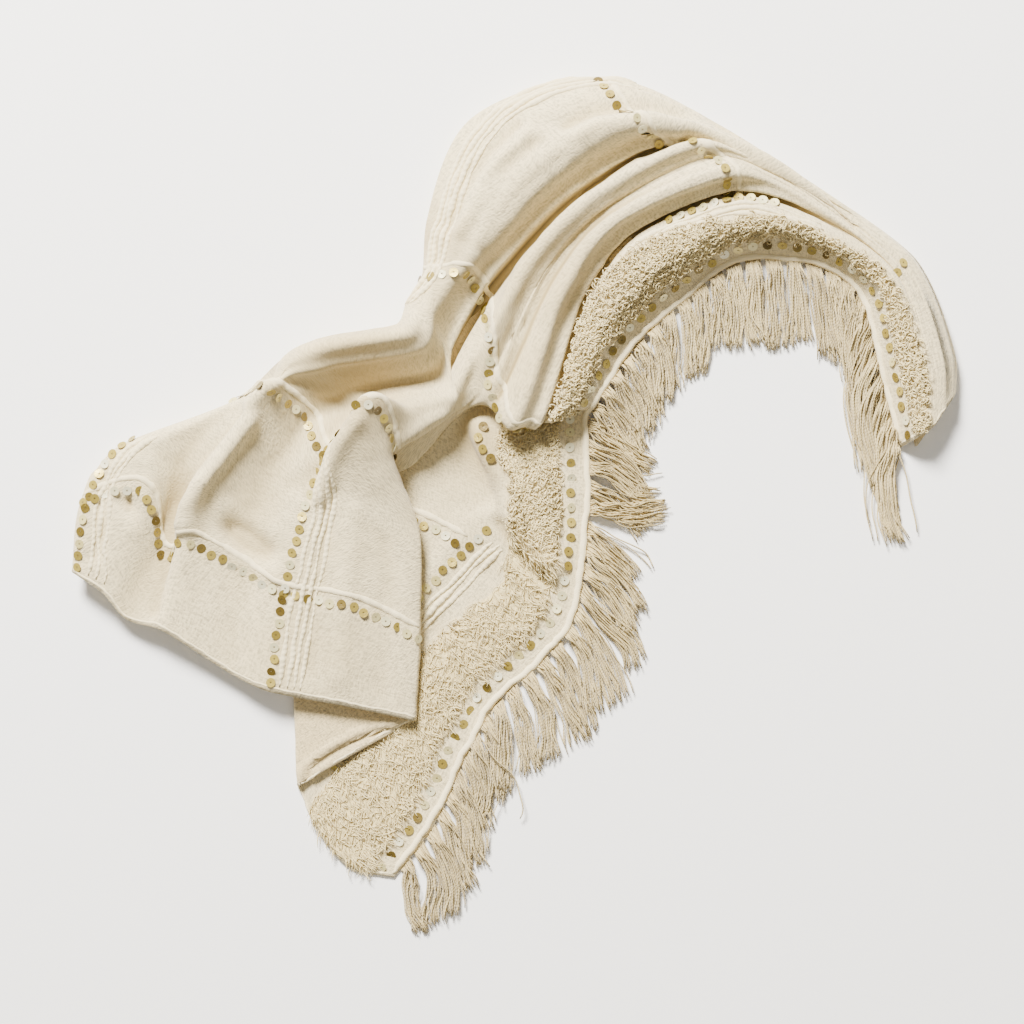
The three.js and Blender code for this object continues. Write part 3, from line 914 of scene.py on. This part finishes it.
def three_tones(middle, spread):
    """A darker and warmer tone, the middle one and a lighter one of one colour."""
    # The darker tone is warmed as well as darkened, partly as the yarns' own colour and partly as warm
    # painted shade where tints are low.
    warmth = (0.95, 1.05, 1.2)
    dark = tuple(part * (1 - spread * warm) for part, warm in zip(middle, warmth))
    light = tuple(min(1.0, part * (1 + spread * 0.6)) for part in middle)
    return dark, tuple(middle), light


class BuildStep:
    """What the operators share: each one builds its pieces from the scene's sizes and colours."""

    def execute(self, context):
        self.build(context.scene.throw_sizes, context.scene.throw_colours)
        return {"FINISHED"}


# The cloth

surfaces = {}


def the_cloth(sizes):
    """The shared surface, which the first operator makes and the others place their pieces on."""
    pitches = (sizes.column_pitch / MM, sizes.row_pitch / MM)
    if pitches not in surfaces:
        surfaces[pitches] = Cloth(*pitches)
    return surfaces[pitches]


def weave_places(cloth):
    """Where each grid point lies on the flat cloth: along the hem and in from it, in metres."""
    steps = step_lengths(cloth.points)[:, cloth.lines < CREST].mean(axis=1)
    along = np.broadcast_to(running_total(steps)[:, None], cloth.from_hem.shape)
    return np.stack([along, cloth.from_hem, np.zeros_like(along)], axis=-1).reshape(-1, 3)


class THROW_OT_cloth(BuildStep, bpy.types.Operator):
    """Adds the folded cloth, which stands for the solid cloth"""
    bl_idname = "throw.cloth"
    bl_label = "Add the cloth"

    def build(self, sizes, colours):
        cloth = the_cloth(sizes)
        upper = cloth.points + cloth.normal * HALF_CLOTH
        lower = cloth.points - cloth.normal * HALF_CLOTH
        lower[..., 2] = np.maximum(lower[..., 2], 0.0)
        made, back_count = make_slab("throw_sheet", upper, lower)
        add_values(made, "weave", np.tile(weave_places(cloth), (2, 1)))
        # Stores how much shade is painted at each place, for the face and the back.
        add_values(made, "hollow", np.tile(cloth.painted_shade_depth().ravel(), 2))
        for name, light, deep in (("cloth_face", colours.cloth, colours.cloth_deep),
                                  ("cloth_back", colours.back, colours.back_deep)):
            material = cloth_material(name, tuple(light), tuple(deep), tuple(colours.hollow))
            made.data.materials.append(material)
        slots = np.zeros(len(made.data.polygons), np.int32)
        slots[-back_count:] = 1
        made.data.polygons.foreach_set("material_index", slots)
        finish_piece(made, "cloth")
        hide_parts("throw_cloth")


# Cords and ribs

# How a cord is made: how uneven its thickness is, how far it sways to the side in metres, how deep it is
# sunk as a share of its thickness, how strongly its twist shows, and how much lighter its colour is.
SMOOTH_CORD = dict(uneven=0.15, wander=0.0009, sunk=0.57, twist=0.5, tone=-0.10)
ROPED_RIB = dict(uneven=0.26, wander=0.0009, sunk=0.44, twist=0.9, tone=-0.18)
FLANK_RIB = dict(ROPED_RIB, sunk=0.30)
# The piping is painted lighter than the other cords, as light on the rolled hem.
PIPING = dict(uneven=0.06, wander=0.0016, sunk=0.26, twist=0.0, tone=0.25)

# Sections beside which a raised cord and a column of sequins run across the throw, and the line of the
# outermost row of sequins.
CORD_SECTIONS = ("first_cord", "second_cord", "third_cord", "fourth_cord")
LOBE_EDGE = LOBE + 0.7

# Bundles of ribs along the throw: the (section, line) places that each runs through, and how far in from
# there each of its ribs lies, in metres. The last bundle comes up over the crest, runs up the arch's flank
# and goes over the crest again.
RIB_BUNDLES = (
    dict(through=((0.7, ROW), (3.3, ROW)), offsets=(-0.032, -0.024, -0.016), kind=ROPED_RIB),
    dict(through=((8.4, ROW), (11.2, ROW)), offsets=(-0.019, -0.013, -0.007), kind=ROPED_RIB),
    dict(through=((0.05, STRIPE), (3.2, STRIPE)), offsets=(-0.040, -0.031, -0.022, -0.013), kind=ROPED_RIB),
    dict(through=((0.05, LOBE_EDGE), (2.2, LOBE_EDGE)), offsets=(-0.034, -0.025, -0.016), kind=ROPED_RIB),
    dict(through=((5.8, 13.5), (7.0, 12.4), (8.0, 11.9), (9.0, 12.2), (10.3, 13.9)),
         offsets=(-0.015, -0.007, 0.001, 0.009), kind=FLANK_RIB),
)

# How finely a route along or across the throw is worked out, and the step of a cord in metres.
STEPS_ALONG = 900
STEPS_ACROSS = 500
CORD_STEP = 0.0048


def across_route(cloth, place, offset, first, last):
    """A route across the throw at a section's number, moved along the hem by an offset."""
    line = np.linspace(first, last, STEPS_ACROSS)
    return cloth.moved_along(np.full(line.shape, float(place)), line, offset), line


def along_route(cloth, through, offset):
    """A route along the throw through (section, line) places, moved in from the hem by an offset."""
    sections, lines = zip(*through)
    section = np.linspace(sections[0], sections[-1], STEPS_ALONG)
    return section, cloth.moved_across(section, np.interp(section, sections, lines), offset)


def across_face(cloth, section_name, offset):
    """Routes across the throw that leave out the layer turned under the fan, which shows its back."""
    place = SECTION_NAMES.index(section_name)
    if place > PINCH:
        return [across_route(cloth, place, offset, ROW + 0.12, CREST)]
    return [across_route(cloth, place, offset, ROW + 0.12, UNDER),
            across_route(cloth, place, offset, OVER + 0.4, CREST)]


def cord_routes(cloth, sizes):
    """The route, thickness and kind of each cord, rib, bound selvage and of the piping along the hem."""
    for name in CORD_SECTIONS:
        for route in across_face(cloth, name, 0.008):
            yield route, sizes.cord_size, SMOOTH_CORD
    for bundle in RIB_BUNDLES:
        for offset in bundle["offsets"]:
            yield along_route(cloth, bundle["through"], offset), sizes.rib_size, bundle["kind"]
    for place in (0.04, LAST_SECTION - 0.04):
        yield across_route(cloth, place, 0.0, HEM + 0.02, CREST), sizes.rib_size * 0.6, SMOOTH_CORD
    section = np.linspace(0.03, LAST_SECTION - 0.03, STEPS_ALONG)
    yield (section, np.full(section.shape, HEM + 0.06)), sizes.piping_size, PIPING


def cord_parts(cloth, maker, route, size, kind):
    """One slubby cord along its route, thinner at its ends, and sunk in the cloth."""
    section, line = cloth.walk(*route, CORD_STEP)
    normal = cloth.at(cloth.normal, section, line)
    points = cloth.point(section, line)
    drawn = maker.normal(size=len(section) + 4)
    slub = 1 + kind["uneven"] * np.convolve(drawn, np.ones(5) / 2.2, "valid")
    ends = np.minimum(np.arange(len(section)), np.arange(len(section))[::-1])
    radius = size / 2 * np.clip(slub, 0.55, 1.6) * (0.35 + 0.65 * smooth_step(0, 3, ends))
    lift = HALF_CLOTH + radius * (0.5 - 2 * kind["sunk"])
    sway = np.convolve(maker.normal(size=len(section) + 8), np.ones(9) / 3, "valid")
    side = unit(np.cross(normal, np.gradient(points, axis=0)))
    path = points + normal * lift[:, None] + side * (kind["wander"] * sway)[:, None]
    path[:, 2] = np.maximum(path[:, 2], radius * 0.4)
    points, quads, caps, ply = tube_parts(path[None], radius[None], 6, normal[None])
    points[:, 2] = np.maximum(points[:, 2], 0.0)
    return points, quads, caps, ply * (1.0, 1.0, kind["twist"])


class THROW_OT_cords(BuildStep, bpy.types.Operator):
    """Adds the raised cords across the throw and the slubby ribs along it"""
    bl_idname = "throw.cords"
    bl_label = "Add the cords and ribs"

    def build(self, sizes, colours):
        cloth = the_cloth(sizes)
        maker = np.random.default_rng(sizes.seed)
        parts, tints = [], []
        for route, size, kind in cord_routes(cloth, sizes):
            parts.append(cord_parts(cloth, maker, route, size, kind))
            tints.append(maker.uniform(0.6, 0.75, 1) + kind["tone"])
        material = yarn_material("cord_cotton", three_tones(colours.cloth, 0.22), 150.0, 0.35, 0.0007)
        finish_piece(make_tubes("raised_cords", parts, tints), "cloth", material)


# Sequins

# Rows of sequins along the throw, given as the bundles of ribs are.
SEQUIN_ROWS = (
    dict(through=((0.7, ROW), (3.5, ROW)), offset=-0.001),
    dict(through=((4.5, ROW), (5.1, ROW)), offset=-0.001),
    dict(through=((9.3, ROW), (10.7, ROW)), offset=-0.001),
    dict(through=((0.03, STRIPE), (3.25, STRIPE)), offset=0.0),
    dict(through=((0.03, LOBE_EDGE), (2.2, LOBE_EDGE)), offset=0.0),
)

# The middle tints of the olive, amber and pearl sequins, and the share of each kind.
SEQUIN_TINTS = (0.08, 0.42, 0.86)
SEQUIN_SHARES = (0.28, 0.38, 0.34)

# The rings of points that make a sequin, from its hole to its rim and back below: the distance from its
# middle and the height of each, as shares of its radius.
DISC_RINGS = ((0.12, 0.00), (0.26, 0.02), (1.00, 0.05), (1.00, -0.01), (0.12, -0.05))
DISC_SIDES = 13

# How much the sequins tilt, how far they lie above the cloth in metres, and how far they stray sideways.
SEQUIN_TILT = 0.16
SEQUIN_LIFT = 0.0012
SEQUIN_STRAY = 0.0009


def sequin_routes(cloth, pitch):
    """The route of each row and column of sequins, and its pitch. The row in the pile is a wide one."""
    section = np.linspace(0.05, LAST_SECTION - 0.05, STEPS_ALONG)
    yield (section, cloth.line_at(section, 0.022)), pitch * 1.25
    for row in SEQUIN_ROWS:
        yield along_route(cloth, row["through"], row["offset"]), pitch
    for name in CORD_SECTIONS:
        for route in across_face(cloth, name, -0.006):
            yield route, pitch
    yield across_route(cloth, SECTION_NAMES.index("turn"), 0.0, ROW + 0.4, CREST), pitch


def disc_shape(radius):
    """A slightly cupped disc with a hole, as closed rings of points and faces."""
    angle = np.arange(DISC_SIDES) / DISC_SIDES * math.tau
    points = np.concatenate([
        np.stack([share * np.cos(angle), share * np.sin(angle), np.full(DISC_SIDES, height)], axis=-1)
        for share, height in DISC_RINGS]) * radius
    here = np.arange(DISC_SIDES)
    turn = np.roll(here, -1)
    bands = []
    for ring in range(len(DISC_RINGS)):
        start = ring * DISC_SIDES
        after = (ring + 1) % len(DISC_RINGS) * DISC_SIDES
        bands.append(np.stack([start + here, after + here, after + turn, start + turn], axis=-1))
    # The rings about the hole, which the material paints darker as shade.
    hole_shade = np.repeat([float(share < 0.2) for share, _ in DISC_RINGS], DISC_SIDES)
    return points, np.concatenate(bands), hole_shade


def sequin_places(cloth, pitch):
    """The place, the forward direction and the cloth's normal of each sequin."""
    found = []
    for route, step in sequin_routes(cloth, pitch):
        marks = cloth.walk(*route, step)
        points = cloth.point(*marks)
        found.append((points, unit(np.gradient(points, axis=0)), unit(cloth.at(cloth.normal, *marks))))
    return [np.concatenate(group) for group in zip(*found)]


class THROW_OT_sequins(BuildStep, bpy.types.Operator):
    """Adds the rows and columns of sequins"""
    bl_idname = "throw.sequins"
    bl_label = "Add the sequins"

    def build(self, sizes, colours):
        maker = np.random.default_rng(sizes.seed + 1)
        place, forward, normal = sequin_places(the_cloth(sizes), sizes.sequin_pitch)
        count = len(place)
        normal = unit(normal + maker.normal(scale=SEQUIN_TILT, size=normal.shape) - 0.10 * forward)
        side = unit(np.cross(normal, forward))
        forward = np.cross(side, normal)
        shape, faces, hole_shade = disc_shape(sizes.sequin_size / 2)
        scale = maker.normal(1.0, 0.03, count)[:, None, None]
        lift = (HALF_CLOTH + SEQUIN_LIFT + maker.uniform(0, 0.0006, count))[:, None]
        centre = place + normal * lift + side * maker.normal(scale=SEQUIN_STRAY, size=(count, 1))
        points = (centre[:, None] + scale * (shape[None, :, :1] * forward[:, None]
                                             + shape[None, :, 1:2] * side[:, None]
                                             + shape[None, :, 2:] * normal[:, None]))
        quads = (faces[None] + (np.arange(count) * len(shape))[:, None, None]).reshape(-1, 4)
        made = make_mesh("sequins", points.reshape(-1, 3), quads, smooth=False)
        kinds = maker.choice(len(SEQUIN_TINTS), count, p=SEQUIN_SHARES)
        tint = np.array(SEQUIN_TINTS)[kinds] + maker.uniform(-0.12, 0.14, count)
        add_values(made, "tint", np.repeat(tint, len(shape)))
        add_values(made, "hole_shade", np.tile(hole_shade, count))
        finish_piece(made, "sequin", sequin_material())


# The shag band

# How far the pile reaches in from the hem, as a share of the way to the second row, section by section.
PILE_REACH = dict(selvage=1.15, first_cord=0.92, panel=0.68, second_cord=0.64, strip=0.95, flap_top=0.78,
                  under_lip=0.95, third_cord=0.97, leg=0.97, shoulder=0.86, fourth_cord=0.70, top=0.72,
                  turn=0.9, last_cord=1.0, end=1.0)

# How far in from the hem the pile starts, and how much nearer to the hem it does on the arch, in metres.
PILE_START = 0.040
NEARER_ON_ARCH = 0.007

# How finely the woolly bed and the tufts are worked out.
BED_COLUMNS = 560
BED_ROWS = 30
TUFT_STATIONS = 8

# The stretches of the pile: the sections that each lies between, its number of tufts, and how shaggy it
# is, from 1 for long wisps to 0 for tight curls.
PILE_BANDS = (
    dict(name="pile_lower", first=0.05, last=3.6, tufts=4300, shaggy=1.0),
    dict(name="pile_flap", first=3.6, last=PINCH + 0.6, tufts=2300, shaggy=0.35),
    dict(name="pile_arch", first=PINCH + 0.6, last=LAST_SECTION - 0.05, tufts=4400, shaggy=0.0),
)


def pile_edges(cloth, section):
    """The lines at which the pile band starts and ends at each section."""
    reach = np.interp(section, np.arange(LAST_SECTION + 1), [PILE_REACH[name] for name in SECTION_NAMES])
    start = PILE_START - NEARER_ON_ARCH * smooth_step(PINCH, ARCH_START, section)
    return cloth.line_at(section, start), cloth.line_at(section, cloth.distance_at(section, ROW) * reach)


def add_pile_bed(cloth, material):
    """The low woolly bed of the pile, with a bump for each curl, painted darker as shade under the tufts and
    between the curls.
    """
    section = np.linspace(0.04, LAST_SECTION - 0.04, BED_COLUMNS)
    first, last = pile_edges(cloth, section)
    share = np.linspace(0, 1, BED_ROWS)
    line = first[:, None] + (last - first)[:, None] * share * 0.94
    sections = np.broadcast_to(section[:, None], line.shape)
    places = cloth.point(sections.ravel(), line.ravel()).reshape(*line.shape, 3)
    normal = unit(cloth.at(cloth.normal, sections.ravel(), line.ravel())).reshape(*line.shape, 3)
    curls = [noise.voronoi(Vector(place) * 190.0)[0][0] for place in places.reshape(-1, 3)]
    curl = 1 - np.clip(np.array(curls).reshape(line.shape), 0, 1)
    swell = np.minimum(1, np.sin(share * math.pi) * 3)[None]
    upper = places + normal * (HALF_CLOTH + swell * (0.0008 + 0.0030 * curl))[..., None]
    lower = places + normal * (HALF_CLOTH / 2)
    made, _ = make_slab("pile_bed", upper, lower)
    x, y, _ = np.stack([upper, lower]).reshape(-1, 3).T
    add_values(made, "ply", np.stack([np.ones(len(x)), np.zeros(len(x)), x + y], axis=-1))
    # Painted shade: the bed is darker than the tufts, and darkest between its curls.
    add_values(made, "tint", np.tile(curl.ravel(), 2) * 0.5 + 0.15)
    finish_piece(made, "pile", material)


def tuft_roots(cloth, maker, first, last, count):
    """Places for tufts, evenly over the band between two sections, with thin patches."""
    tries = count * 8
    section = maker.uniform(first, last, tries)
    low, high = pile_edges(cloth, section)
    line = low + (high - low) * maker.uniform(0, 1.03, tries)
    near = cloth.point(np.clip(section + 0.05, 0, LAST_SECTION), line)
    width = np.linalg.norm(cloth.point(section, high) - cloth.point(section, low), axis=-1)
    area = np.linalg.norm(near - cloth.point(section, line), axis=-1) * width
    along = section / LAST_SECTION * FLAT_WIDTH
    patch = noise_at(np.stack([along, line * 60, np.zeros(tries)], axis=-1), (34, 26, 30), 5)
    keep = (maker.uniform(0, 1, tries) < area / area.max() * (1.0 + 0.9 * patch))
    return section[keep][:count], line[keep][:count]


def add_tufts(cloth, sizes, band, seed, material):
    """Curly tufts over one stretch of the pile, each a thin tube that winds as it leans over."""
    maker = np.random.default_rng(seed)
    shaggy = band["shaggy"]
    wanted = round(band["tufts"] * sizes.pile_density)
    section, line = tuft_roots(cloth, maker, band["first"], band["last"], wanted)
    total = len(section)
    each = (total, 1, 1)
    root = cloth.point(section, line)[:, None]
    normal = unit(cloth.at(cloth.normal, section, line))[:, None]
    along = unit(cloth.at(cloth.along, section, line))
    down = unit(-unit(cloth.at(cloth.across, section, line)) + shaggy * np.array((-0.1, -1.2, 0.0)))
    angle = maker.normal(0, 2.2 - 1.6 * shaggy, total)[:, None]
    lean = unit(np.cos(angle) * down + np.sin(angle) * along)[:, None]
    side = np.cross(normal, lean)
    share = np.linspace(0, 1, TUFT_STATIONS)[None, :, None]
    curl_size = sizes.tuft_length * maker.uniform(0.12, 0.26, each) * (1 - 0.35 * shaggy)
    turn = share * maker.uniform(3.2, 7.6, each) * (1 - 0.35 * shaggy)
    start = maker.uniform(0, math.tau, each)
    spin = np.where(maker.uniform(0, 1, each) < 0.5, 1.0, -1.0)
    reach = sizes.tuft_length * maker.uniform(0.25, 0.55, each) * (1 + 1.9 * shaggy)
    height = sizes.tuft_length * maker.uniform(0.20, 0.46, each) * (1 - 0.2 * shaggy)
    path = (root + normal * (0.0014 + height * np.sin(share * math.pi * 0.75))
            + lean * (reach * share + curl_size * (np.cos(start + turn) - np.cos(start)))
            + side * spin * curl_size * (np.sin(start + turn) - np.sin(start)))
    path = path + maker.normal(scale=0.0003, size=path.shape) * (share > 0)
    radius = (sizes.tuft_size / 2 * maker.uniform(0.7, 1.15, (total, 1)) * (1 - 0.25 * shaggy)
              * (1 - 0.55 * np.abs(share[..., 0] * 2 - 0.9) ** 2))
    parts = tube_parts(path, radius, 3, side + 0.2 * normal)
    # Each tuft has its own random tone and is painted darker at its root, as shade among the tufts.
    tint = maker.uniform(0.1, 0.45, (total, 1)) + 0.55 * share[..., 0] ** 0.8
    finish_piece(make_tubes(band["name"], [parts], [tint]), "pile", material)


class THROW_OT_pile(BuildStep, bpy.types.Operator):
    """Adds the shag band inside the fringed hem"""
    bl_idname = "throw.pile"
    bl_label = "Add the pile"

    def build(self, sizes, colours):
        cloth = the_cloth(sizes)
        material = yarn_material("pile_cotton", three_tones(colours.pile, 0.52), 120.0, 0.3, 0.0004)
        add_pile_bed(cloth, material)
        for seed, band in enumerate(PILE_BANDS, sizes.seed + 10):
            add_tufts(cloth, sizes, band, seed, material)


# The fringe

# Places that guide the yarns of a hanging lock, as shares of its length, and how high they still lie there
# as a share of the hem's height.
LOCK_GUIDES = (dict(along=0.11, height=1.0), dict(along=0.36, height=0.45),
               dict(along=0.70, height=0.1), dict(along=1.0, height=0.0))
YARN_STATIONS = 24

# Sections between which the flap's looser fringe begins and ends, and the right end's curved one begins.
FLAP_BEGINS = (3.2, 4.2)
FLAP_ENDS = (6.4, 7.4)
RIGHT_END_BEGINS = (11.0, 12.5)


def hang_at(place):
    """The way that the fringe lies at a section's number, in metres."""
    hangs = np.array([(*row["hang"], 0.0) for row in SECTIONS.values()], float)
    return smooth_curve(hangs, np.array([place]))[0] * MM


def turned(heading, angle):
    """A flat direction turned by an angle."""
    return np.array((heading[0] * math.cos(angle) - heading[1] * math.sin(angle),
                     heading[0] * math.sin(angle) + heading[1] * math.cos(angle), 0.0))


def lock_paths(cloth, sizes, maker, centre, on_flap):
    """The yarns of one bunch: looped out of the hem, gathered, then side by side as one hanging lock."""
    count = sizes.yarns
    hem = np.zeros(count)
    spread = np.linspace(-0.5, 0.5, count) + maker.normal(scale=0.04, size=count)
    section = cloth.moved_along(np.full(count, centre), hem, spread * sizes.bunch_pitch * 0.7)
    edge = cloth.point(section, hem)
    inside = cloth.point(section, cloth.line_at(section, 0.004))
    outward = unit((edge - inside).mean(axis=0) * np.array((1.0, 1.0, 0.0)))
    hang = hang_at(centre)
    size = np.linalg.norm(hang)
    heading = turned(hang / size, np.clip(maker.normal(scale=0.09 + 0.22 * on_flap), -0.5, 0.5))
    side = np.array((-heading[1], heading[0], 0.0))
    square_out = outward - heading * (outward @ heading)
    knot = edge.mean(axis=0) + outward * 0.003
    reach = size * maker.normal(1.0 + 0.08 * on_flap, 0.06) * maker.normal(1.0, 0.035, count)
    across = (spread * sizes.bunch_pitch)[:, None] * side
    widths = (0.58, 0.80, maker.uniform(0.75, 1.0), maker.uniform(0.75, 1.25))
    rises = maker.uniform(0, 1, count) * 0.006 + maker.uniform(0, 0.006)
    bend = 0.09 + 0.05 * smooth_step(*RIGHT_END_BEGINS, centre)
    control = [inside, edge + outward * 0.0015]
    for guide, wide in zip(LOCK_GUIDES, widths):
        along = guide["along"]
        bulge = square_out * size * bend * math.sin(math.pi * min(1.0, along * 1.1))
        place = knot + heading * (reach * along)[:, None] + across * wide + bulge
        place[:, 2] = sizes.yarn_size / 2 + knot[2] * guide["height"] + rises * (1.0 - 0.6 * along)
        control.append(place)
    stations = np.linspace(0, len(control) - 1, YARN_STATIONS)
    return smooth_curve(np.stack(control), stations).transpose(1, 0, 2), side


def kinked(path, side, maker, on_flap, floor):
    """The yarns of a lock as they sway together, drift apart, kink, stray and fray at their tips."""
    each = (len(path), 1, 1)
    share = np.linspace(0, 1, YARN_STATIONS)[None, :, None]
    loose = smooth_step(0.25, 0.9, share)
    turns, start = maker.uniform(0.6, 1.3), maker.uniform(0, math.tau)
    shared = maker.normal(scale=0.0050 + 0.0040 * on_flap) * np.sin(share * turns * math.tau + start)
    turns, start = maker.uniform(0.5, 1.2, each), maker.uniform(0, math.tau, each)
    drift = maker.normal(scale=0.0016, size=each) * smooth_step(0.15, 0.5, share)
    drift = drift * np.sin(share * turns * math.tau + start)
    waves = maker.uniform(2.0, 3.8) + maker.normal(scale=0.35, size=each)
    wave = share * waves * math.tau + maker.normal(scale=1.1, size=each)
    kink = maker.uniform(0.0005, 0.0019, each) * smooth_step(0.05, 0.4, share)
    loosened = maker.uniform(0, 1, each) < 0.12 + 0.16 * on_flap
    stray = loosened * maker.normal(scale=0.010, size=each)
    frayed = maker.normal(scale=0.0028, size=each) * smooth_step(0.78, 1.0, share)
    path = path + side * (shared * loose + drift + kink * np.sin(wave) + stray * loose + frayed)
    path[..., 2] += (kink * 0.9 * (1 + np.cos(wave)))[..., 0]
    path[..., 2] = np.maximum(path[..., 2], floor)
    return path


def bunch_paths(cloth, sizes, maker, centre):
    """The yarns of one bunch, more tangled at the flap than elsewhere."""
    on_flap = smooth_step(*FLAP_BEGINS, centre) * (1 - smooth_step(*FLAP_ENDS, centre))
    path, side = lock_paths(cloth, sizes, maker, centre, on_flap)
    return kinked(path, side, maker, on_flap, sizes.yarn_size / 2)


class THROW_OT_fringe(BuildStep, bpy.types.Operator):
    """Adds the bunches of yarn along the hem, which stand for the solid comb"""
    bl_idname = "throw.fringe"
    bl_label = "Add the fringe"

    def build(self, sizes, colours):
        cloth = the_cloth(sizes)
        maker = np.random.default_rng(sizes.seed + 4)
        section = np.linspace(0.12, LAST_SECTION - 0.12, STEPS_ALONG)
        centres, _ = cloth.walk(section, np.zeros(STEPS_ALONG), sizes.bunch_pitch)
        paths = np.concatenate([bunch_paths(cloth, sizes, maker, centre) for centre in centres])
        share = np.linspace(0, 1, YARN_STATIONS)[None]
        radius = (sizes.yarn_size / 2 * maker.uniform(0.8, 1.15, (len(paths), 1))
                  * (1 - 0.3 * smooth_step(0.94, 1.0, share)))
        parts = tube_parts(paths, radius, 3, np.broadcast_to(np.array((0.03, 0.02, 1.0)), paths.shape))
        bunch_tone = np.repeat(maker.uniform(-0.12, 0.12, len(centres)), sizes.yarns)[:, None]
        # The yarns are painted darker near the hem, as shade under it.
        painted_root_shade = 0.45 * (1 - smooth_step(0.02, 0.35, share))
        tint = maker.uniform(0.1, 0.9, (len(paths), 1)) + bunch_tone - painted_root_shade
        made = make_tubes("fringe_yarns", [parts], [np.clip(tint, 0, 1)])
        tones = three_tones(colours.fringe, 0.38)
        finish_piece(made, "fringe", yarn_material("fringe_cotton", tones, 260.0, 0.5, 0.0004))
        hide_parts("fringe")


# The stage

# The camera looks straight down on a stretch of floor as wide as the photo shows. Its lens and sensor
# are given in millimetres and the rest in metres.
VIEW_WIDTH = 1.2288
LENS = 100.0
SENSOR = 36.0
FOCUS_HEIGHT = 0.03
FLOOR_HALF = 12.0
FLOOR_DROP = 0.0006
LIGHTS = (
    dict(name="key_light", place=(-1.7, 4.3, 3.9), size=1.7, power=2050.0, tone=(1.0, 0.96, 0.89)),
    dict(name="fill_light", place=(1.0, -2.2, 2.2), size=2.2, power=18.0, tone=(1.0, 0.90, 0.70)),
)
SKY_TONE = (1.0, 0.95, 0.88, 1.0)
SKY_STRENGTH = 0.38


def add_light(name, place, size, power, tone):
    """A soft square lamp that points at the middle of the throw."""
    lamp = bpy.data.lights.new(name, "AREA")
    lamp.shape = "SQUARE"
    lamp.size = size
    lamp.energy = power
    lamp.color = tone
    made = bpy.data.objects.new(name, lamp)
    made.location = place
    made.rotation_euler = (-Vector(place)).to_track_quat("-Z", "Y").to_euler()
    bpy.context.scene.collection.objects.link(made)


class THROW_OT_stage(BuildStep, bpy.types.Operator):
    """Adds the floor, the lights and the camera"""
    bl_idname = "throw.stage"
    bl_label = "Add the stage"

    def build(self, sizes, colours):
        scene = bpy.context.scene
        signs = np.array([(-1, -1), (1, -1), (1, 1), (-1, 1)])
        corners = np.column_stack([signs * FLOOR_HALF, np.full(4, -FLOOR_DROP)])
        floor = make_mesh("floor", corners, np.array([[0, 1, 2, 3]]), smooth=False)
        floor.data.materials.append(floor_material(tuple(colours.floor)))
        for light in LIGHTS:
            add_light(**light)
        world = bpy.data.worlds.new("studio")
        world.use_nodes = True
        sky = world.node_tree.nodes["Background"]
        sky.inputs["Color"].default_value = SKY_TONE
        sky.inputs["Strength"].default_value = SKY_STRENGTH
        scene.world = world
        view = bpy.data.cameras.new("camera")
        view.lens = LENS
        view.sensor_width = SENSOR
        camera = bpy.data.objects.new("camera", view)
        x, y, _ = LAYOUT_CENTRE
        camera.location = (-x * MM, -y * MM, VIEW_WIDTH * LENS / SENSOR + FOCUS_HEIGHT)
        scene.collection.objects.link(camera)
        scene.camera = camera


class THROW_PT_panel(bpy.types.Panel):
    """Lists the throw's pieces, sizes and colours"""
    bl_idname = "THROW_PT_panel"
    bl_label = "Throw blanket"
    bl_space_type = "VIEW_3D"
    bl_region_type = "UI"
    bl_category = "Throw"

    def draw(self, context):
        for operator in OPERATORS:
            self.layout.operator(operator.bl_idname)
        for group in (context.scene.throw_sizes, context.scene.throw_colours):
            for name in group.bl_rna.properties.keys():
                if name not in {"rna_type", "name"}:
                    self.layout.prop(group, name)


OPERATORS = (THROW_OT_cloth, THROW_OT_cords, THROW_OT_sequins, THROW_OT_pile, THROW_OT_fringe,
             THROW_OT_stage)
CLASSES = (ThrowSizes, ThrowColours, *OPERATORS, THROW_PT_panel)


def register():
    for made in CLASSES:
        bpy.utils.register_class(made)
    bpy.types.Scene.throw_sizes = bpy.props.PointerProperty(type=ThrowSizes)
    bpy.types.Scene.throw_colours = bpy.props.PointerProperty(type=ThrowColours)


def unregister():
    del bpy.types.Scene.throw_colours
    del bpy.types.Scene.throw_sizes
    for made in reversed(CLASSES):
        bpy.utils.unregister_class(made)


def main():
    register()
    bpy.ops.throw.stage()
    bpy.ops.throw.cloth()
    bpy.ops.throw.cords()
    bpy.ops.throw.sequins()
    bpy.ops.throw.pile()
    bpy.ops.throw.fringe()


if __name__ == "__main__":
    main()
